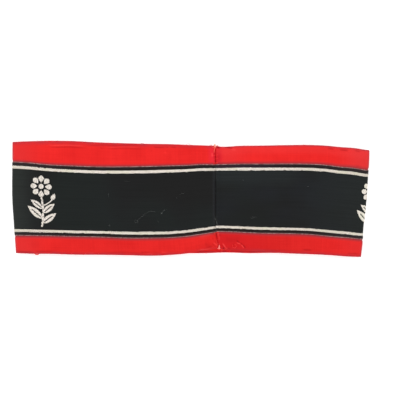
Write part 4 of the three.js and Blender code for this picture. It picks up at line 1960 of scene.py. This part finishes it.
def frayedTubes():
    rootX, rootY = frayedEnd["root"]
    tubes = []
    for spread, length in zip(frayedEnd["spread"], frayedEnd["length"]):
        bow = rng.normal(0, frayedEnd["bow"])
        route = [
            [rootX + sideways * spread + bowed * bow, rootY - down * length, height]
            for sideways, bowed, down, height in frayedEnd["points"]
        ]
        tubes.append(taperedTube(onCloth(route), frayedEnd["radius"]))
    tubes.append(tube(onCloth(knotRoute()), frayedEnd["radius"]))
    return tubes


threadPiece("frayedThread", frayedTubes(), yarns["pinkThread"])


# Red threads, each a radius and a route

redBits = [
    # beside the frayed thread
    (0.26, [[20.6, -34.3, 0.0], [21.2, -34.8, 0.30], [21.6, -35.2, 0.20]]),
    (0.18, [[21.2, -35.3, 0.1], [21.0, -36.0, 0.2], [21.6, -36.5, 0.0]]),
    (0.18, [[23.0, -33.4, 0.1], [23.4, -34.1, 0.3], [24.1, -34.2, 0.3], [24.6, -33.6, 0.3],
            [24.6, -32.8, 0.1]]),
    # a loop on the lower border
    (0.13, [[28.7, -31.0, 0.1], [28.3, -32.1, 0.3], [29.0, -33.2, 0.35], [30.3, -33.2, 0.35],
            [31.0, -32.2, 0.3], [30.6, -31.2, 0.25], [29.4, -30.9, 0.2]]),
    # under the lower edge at the left
    (0.17, [[-107.0, -36.9, -0.8], [-106.0, -37.4, -0.9], [-104.9, -38.0, -0.9], [-103.7, -38.1, -0.9],
            [-102.8, -37.6, -0.8], [-102.3, -36.9, -0.7]]),
    (0.15, [[-105.6, -36.9, -0.7], [-104.8, -37.6, -0.8], [-103.6, -37.7, -0.8], [-102.9, -37.0, -0.7]]),
    (0.13, [[-104.9, -37.2, -0.7], [-104.2, -37.9, -0.8], [-103.4, -37.2, -0.7]]),
    # along the upper edge
    (0.10, [[-34.5, 36.8, -0.6], [-33.2, 37.5, -0.5], [-31.8, 37.4, -0.5], [-31.0, 36.8, -0.6]]),
    (0.09, [[-3.4, 36.2, -0.6], [-2.4, 37.1, -0.4], [-1.0, 37.2, -0.4], [0.2, 36.2, -0.6]]),
    (0.16, [[12.6, 35.4, 0.1], [13.4, 36.3, 0.1], [14.2, 36.3, 0.0], [14.9, 35.6, 0.1]]),
    (0.20, [[17.6, 35.6, 0.0], [18.3, 35.9, -0.1], [19.2, 35.0, 0.1]]),
]
redTubes = [taperedTube(onCloth(route), radius) for radius, route in redBits]
threadPiece("redThreads", redTubes, yarns["redThread"])


# Grey lint on the black: fine curled strands and specks, each a radius and a route

lintBits = [
    (0.034, [[-37.9, -14.4, 0.15], [-37.7, -15.6, 0.25], [-36.6, -16.3, 0.25], [-35.8, -15.6, 0.25],
             [-36.3, -14.8, 0.25], [-37.2, -14.9, 0.25]]),
    (0.026, [[-35.8, -15.6, 0.15], [-35.4, -13.7, 0.25], [-34.3, -13.4, 0.20], [-33.6, -12.3, 0.25],
             [-32.4, -12.0, 0.20], [-31.8, -10.9, 0.25], [-30.6, -10.8, 0.20]]),
    (0.038, [[-31.4, -10.7, 0.15], [-29.2, -9.4, 0.25], [-27.0, -8.6, 0.25], [-25.4, -8.6, 0.2],
             [-23.8, -8.9, 0.1]]),
    (0.070, [[-20.2, -9.4, 0.15], [-19.6, -9.9, 0.25], [-19.0, -9.4, 0.2]]),
    (0.062, [[-20.0, -10.4, 0.15], [-19.3, -10.1, 0.30], [-18.9, -10.6, 0.2]]),
    (0.024, [[-19.4, -9.3, 0.15], [-18.0, -7.9, 0.25], [-16.2, -7.3, 0.15]]),
    (0.040, [[-22.1, -15.0, 0.15], [-21.9, -16.0, 0.15]]),
    (0.050, [[-55.3, -17.6, 0.15], [-54.8, -18.2, 0.25], [-54.5, -18.9, 0.15]]),
    (0.028, [[-55.7, 3.6, 0.15], [-55.5, 2.2, 0.2], [-55.6, 0.8, 0.15]]),
    (0.018, [[-45.2, 11.7, 0.15], [-43.0, 11.5, 0.2], [-40.9, 11.7, 0.15]]),
    (0.022, [[-6.9, 3.0, 0.15], [-5.8, 3.7, 0.25], [-4.3, 3.5, 0.15]]),
    (0.030, [[-9.4, 0.8, 0.15], [-9.3, 0.0, 0.15]]),
    (0.025, [[34.3, 12.6, 0.15], [35.2, 12.4, 0.2], [36.0, 12.7, 0.15]]),
    (0.046, [[78.9, 8.4, 0.15], [79.6, 8.1, 0.25], [80.3, 8.3, 0.15]]),
    (0.035, [[40.3, -12.4, 0.15], [41.2, -13.3, 0.25], [42.6, -12.9, 0.25], [42.2, -12.2, 0.25],
             [41.3, -12.6, 0.15]]),
    (0.030, [[42.8, -12.9, 0.15], [44.0, -12.3, 0.2], [45.0, -12.9, 0.15]]),
    (0.110, [[16.5, -13.2, 0.05], [16.9, -13.9, 0.15], [16.8, -14.6, 0.05]]),
    (0.100, [[17.5, -15.3, 0.05], [17.8, -16.2, 0.12], [18.0, -17.2, 0.05]]),
]
lintSides = 5
lintTubes = [taperedTube(onCloth(route), radius, lintSides) for radius, route in lintBits]
threadPiece("greyLint", lintTubes, yarns["greyLint"])


# Hand stitches that close the seam: black through the woven band, red through the borders

seamStitch = {
    "pitch": 2.9,
    "radius": 0.13,
    "bite": 0.55,
    "dip": 0.45,
    "slant": 0.7,
    "out": 0.03,
    "strayAcross": 0.15,
    "black": (-22.6, 22.0),
    "red": ((-36.5, -25.0), (25.0, 36.5)),
    "tacks": (-25.4, -24.9, 24.2, 24.7),  # beside the woven band's edges
}


def seamStitchAt(v):
    left = place(marks["leftPanel"][0] + seamStitch["bite"], v, seamStitch["out"])
    right = place(marks["rightPanel"][1] - seamStitch["bite"], v + seamStitch["slant"], seamStitch["out"])
    middle = (left + right) / 2 - [0, 0, seamStitch["dip"]]
    return tube(smoothRoute([left, middle, right]), seamStitch["radius"])


def seamStitches(fromV, toV):
    pitch, stray = seamStitch["pitch"], seamStitch["strayAcross"]
    return [seamStitchAt(v + rng.normal(0, stray)) for v in np.arange(fromV, toV, pitch)]


redStitches = []
for stretch in seamStitch["red"]:
    redStitches += seamStitches(*stretch)
redStitches += [seamStitchAt(v) for v in seamStitch["tacks"]]
threadPiece("seamStitchesBlack", seamStitches(*seamStitch["black"]), yarns["blackThread"])
threadPiece("seamStitchesRed", redStitches, yarns["redThread"])


# Short fibres that stand out along the hems

fuzz = {
    "count": 380,
    "radius": 0.026,
    "lengths": (0.4, 1.3),
    "across": 37.9,
    "out": -0.6,
    "lean": 0.8,
    "tipStray": 0.2,
    "middleAt": 0.5,  # how far along and out of the hem, as shares of the length
    "tipAt": 0.8,
    "middleRise": (0.05, 0.15),
    "tipRise": (0.0, 0.25),
    "step": 0.3,
    "sides": 3,
    "lowest": 0.05,
}


def fuzzTubes():
    tubes = []
    for _ in range(fuzz["count"]):
        s = rng.uniform(marks["leftPanel"][0], marks["rightPanel"][1])
        side = rng.choice([-1, 1])
        root = place(s, side * fuzz["across"], fuzz["out"])
        length = rng.uniform(*fuzz["lengths"])
        lean = rng.normal(0, fuzz["lean"])
        middle = [lean * fuzz["middleAt"], side * fuzz["middleAt"], rng.normal(*fuzz["middleRise"])]
        tip = [lean + rng.normal(0, fuzz["tipStray"]), side * fuzz["tipAt"], rng.normal(*fuzz["tipRise"])]
        steps = np.array([[0, 0, 0], middle, tip])
        path = smoothRoute(root + steps * length, fuzz["step"])
        path[:, 2] = np.maximum(path[:, 2], fuzz["lowest"])
        tubes.append(taperedTube(path, fuzz["radius"], fuzz["sides"]))
    return tubes


threadPiece("hemFuzz", fuzzTubes(), yarns["redThread"])


# The finished sizes

def writeSizes():
    sizes = {"cad": [list(corner) for corner in cadBounds], "visual": [list(corner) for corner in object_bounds()]}
    for name, (low, high) in sizes.items():
        print(name, [round((b - a) * 1000, 2) for a, b in zip(low, high)])


writeSizes()
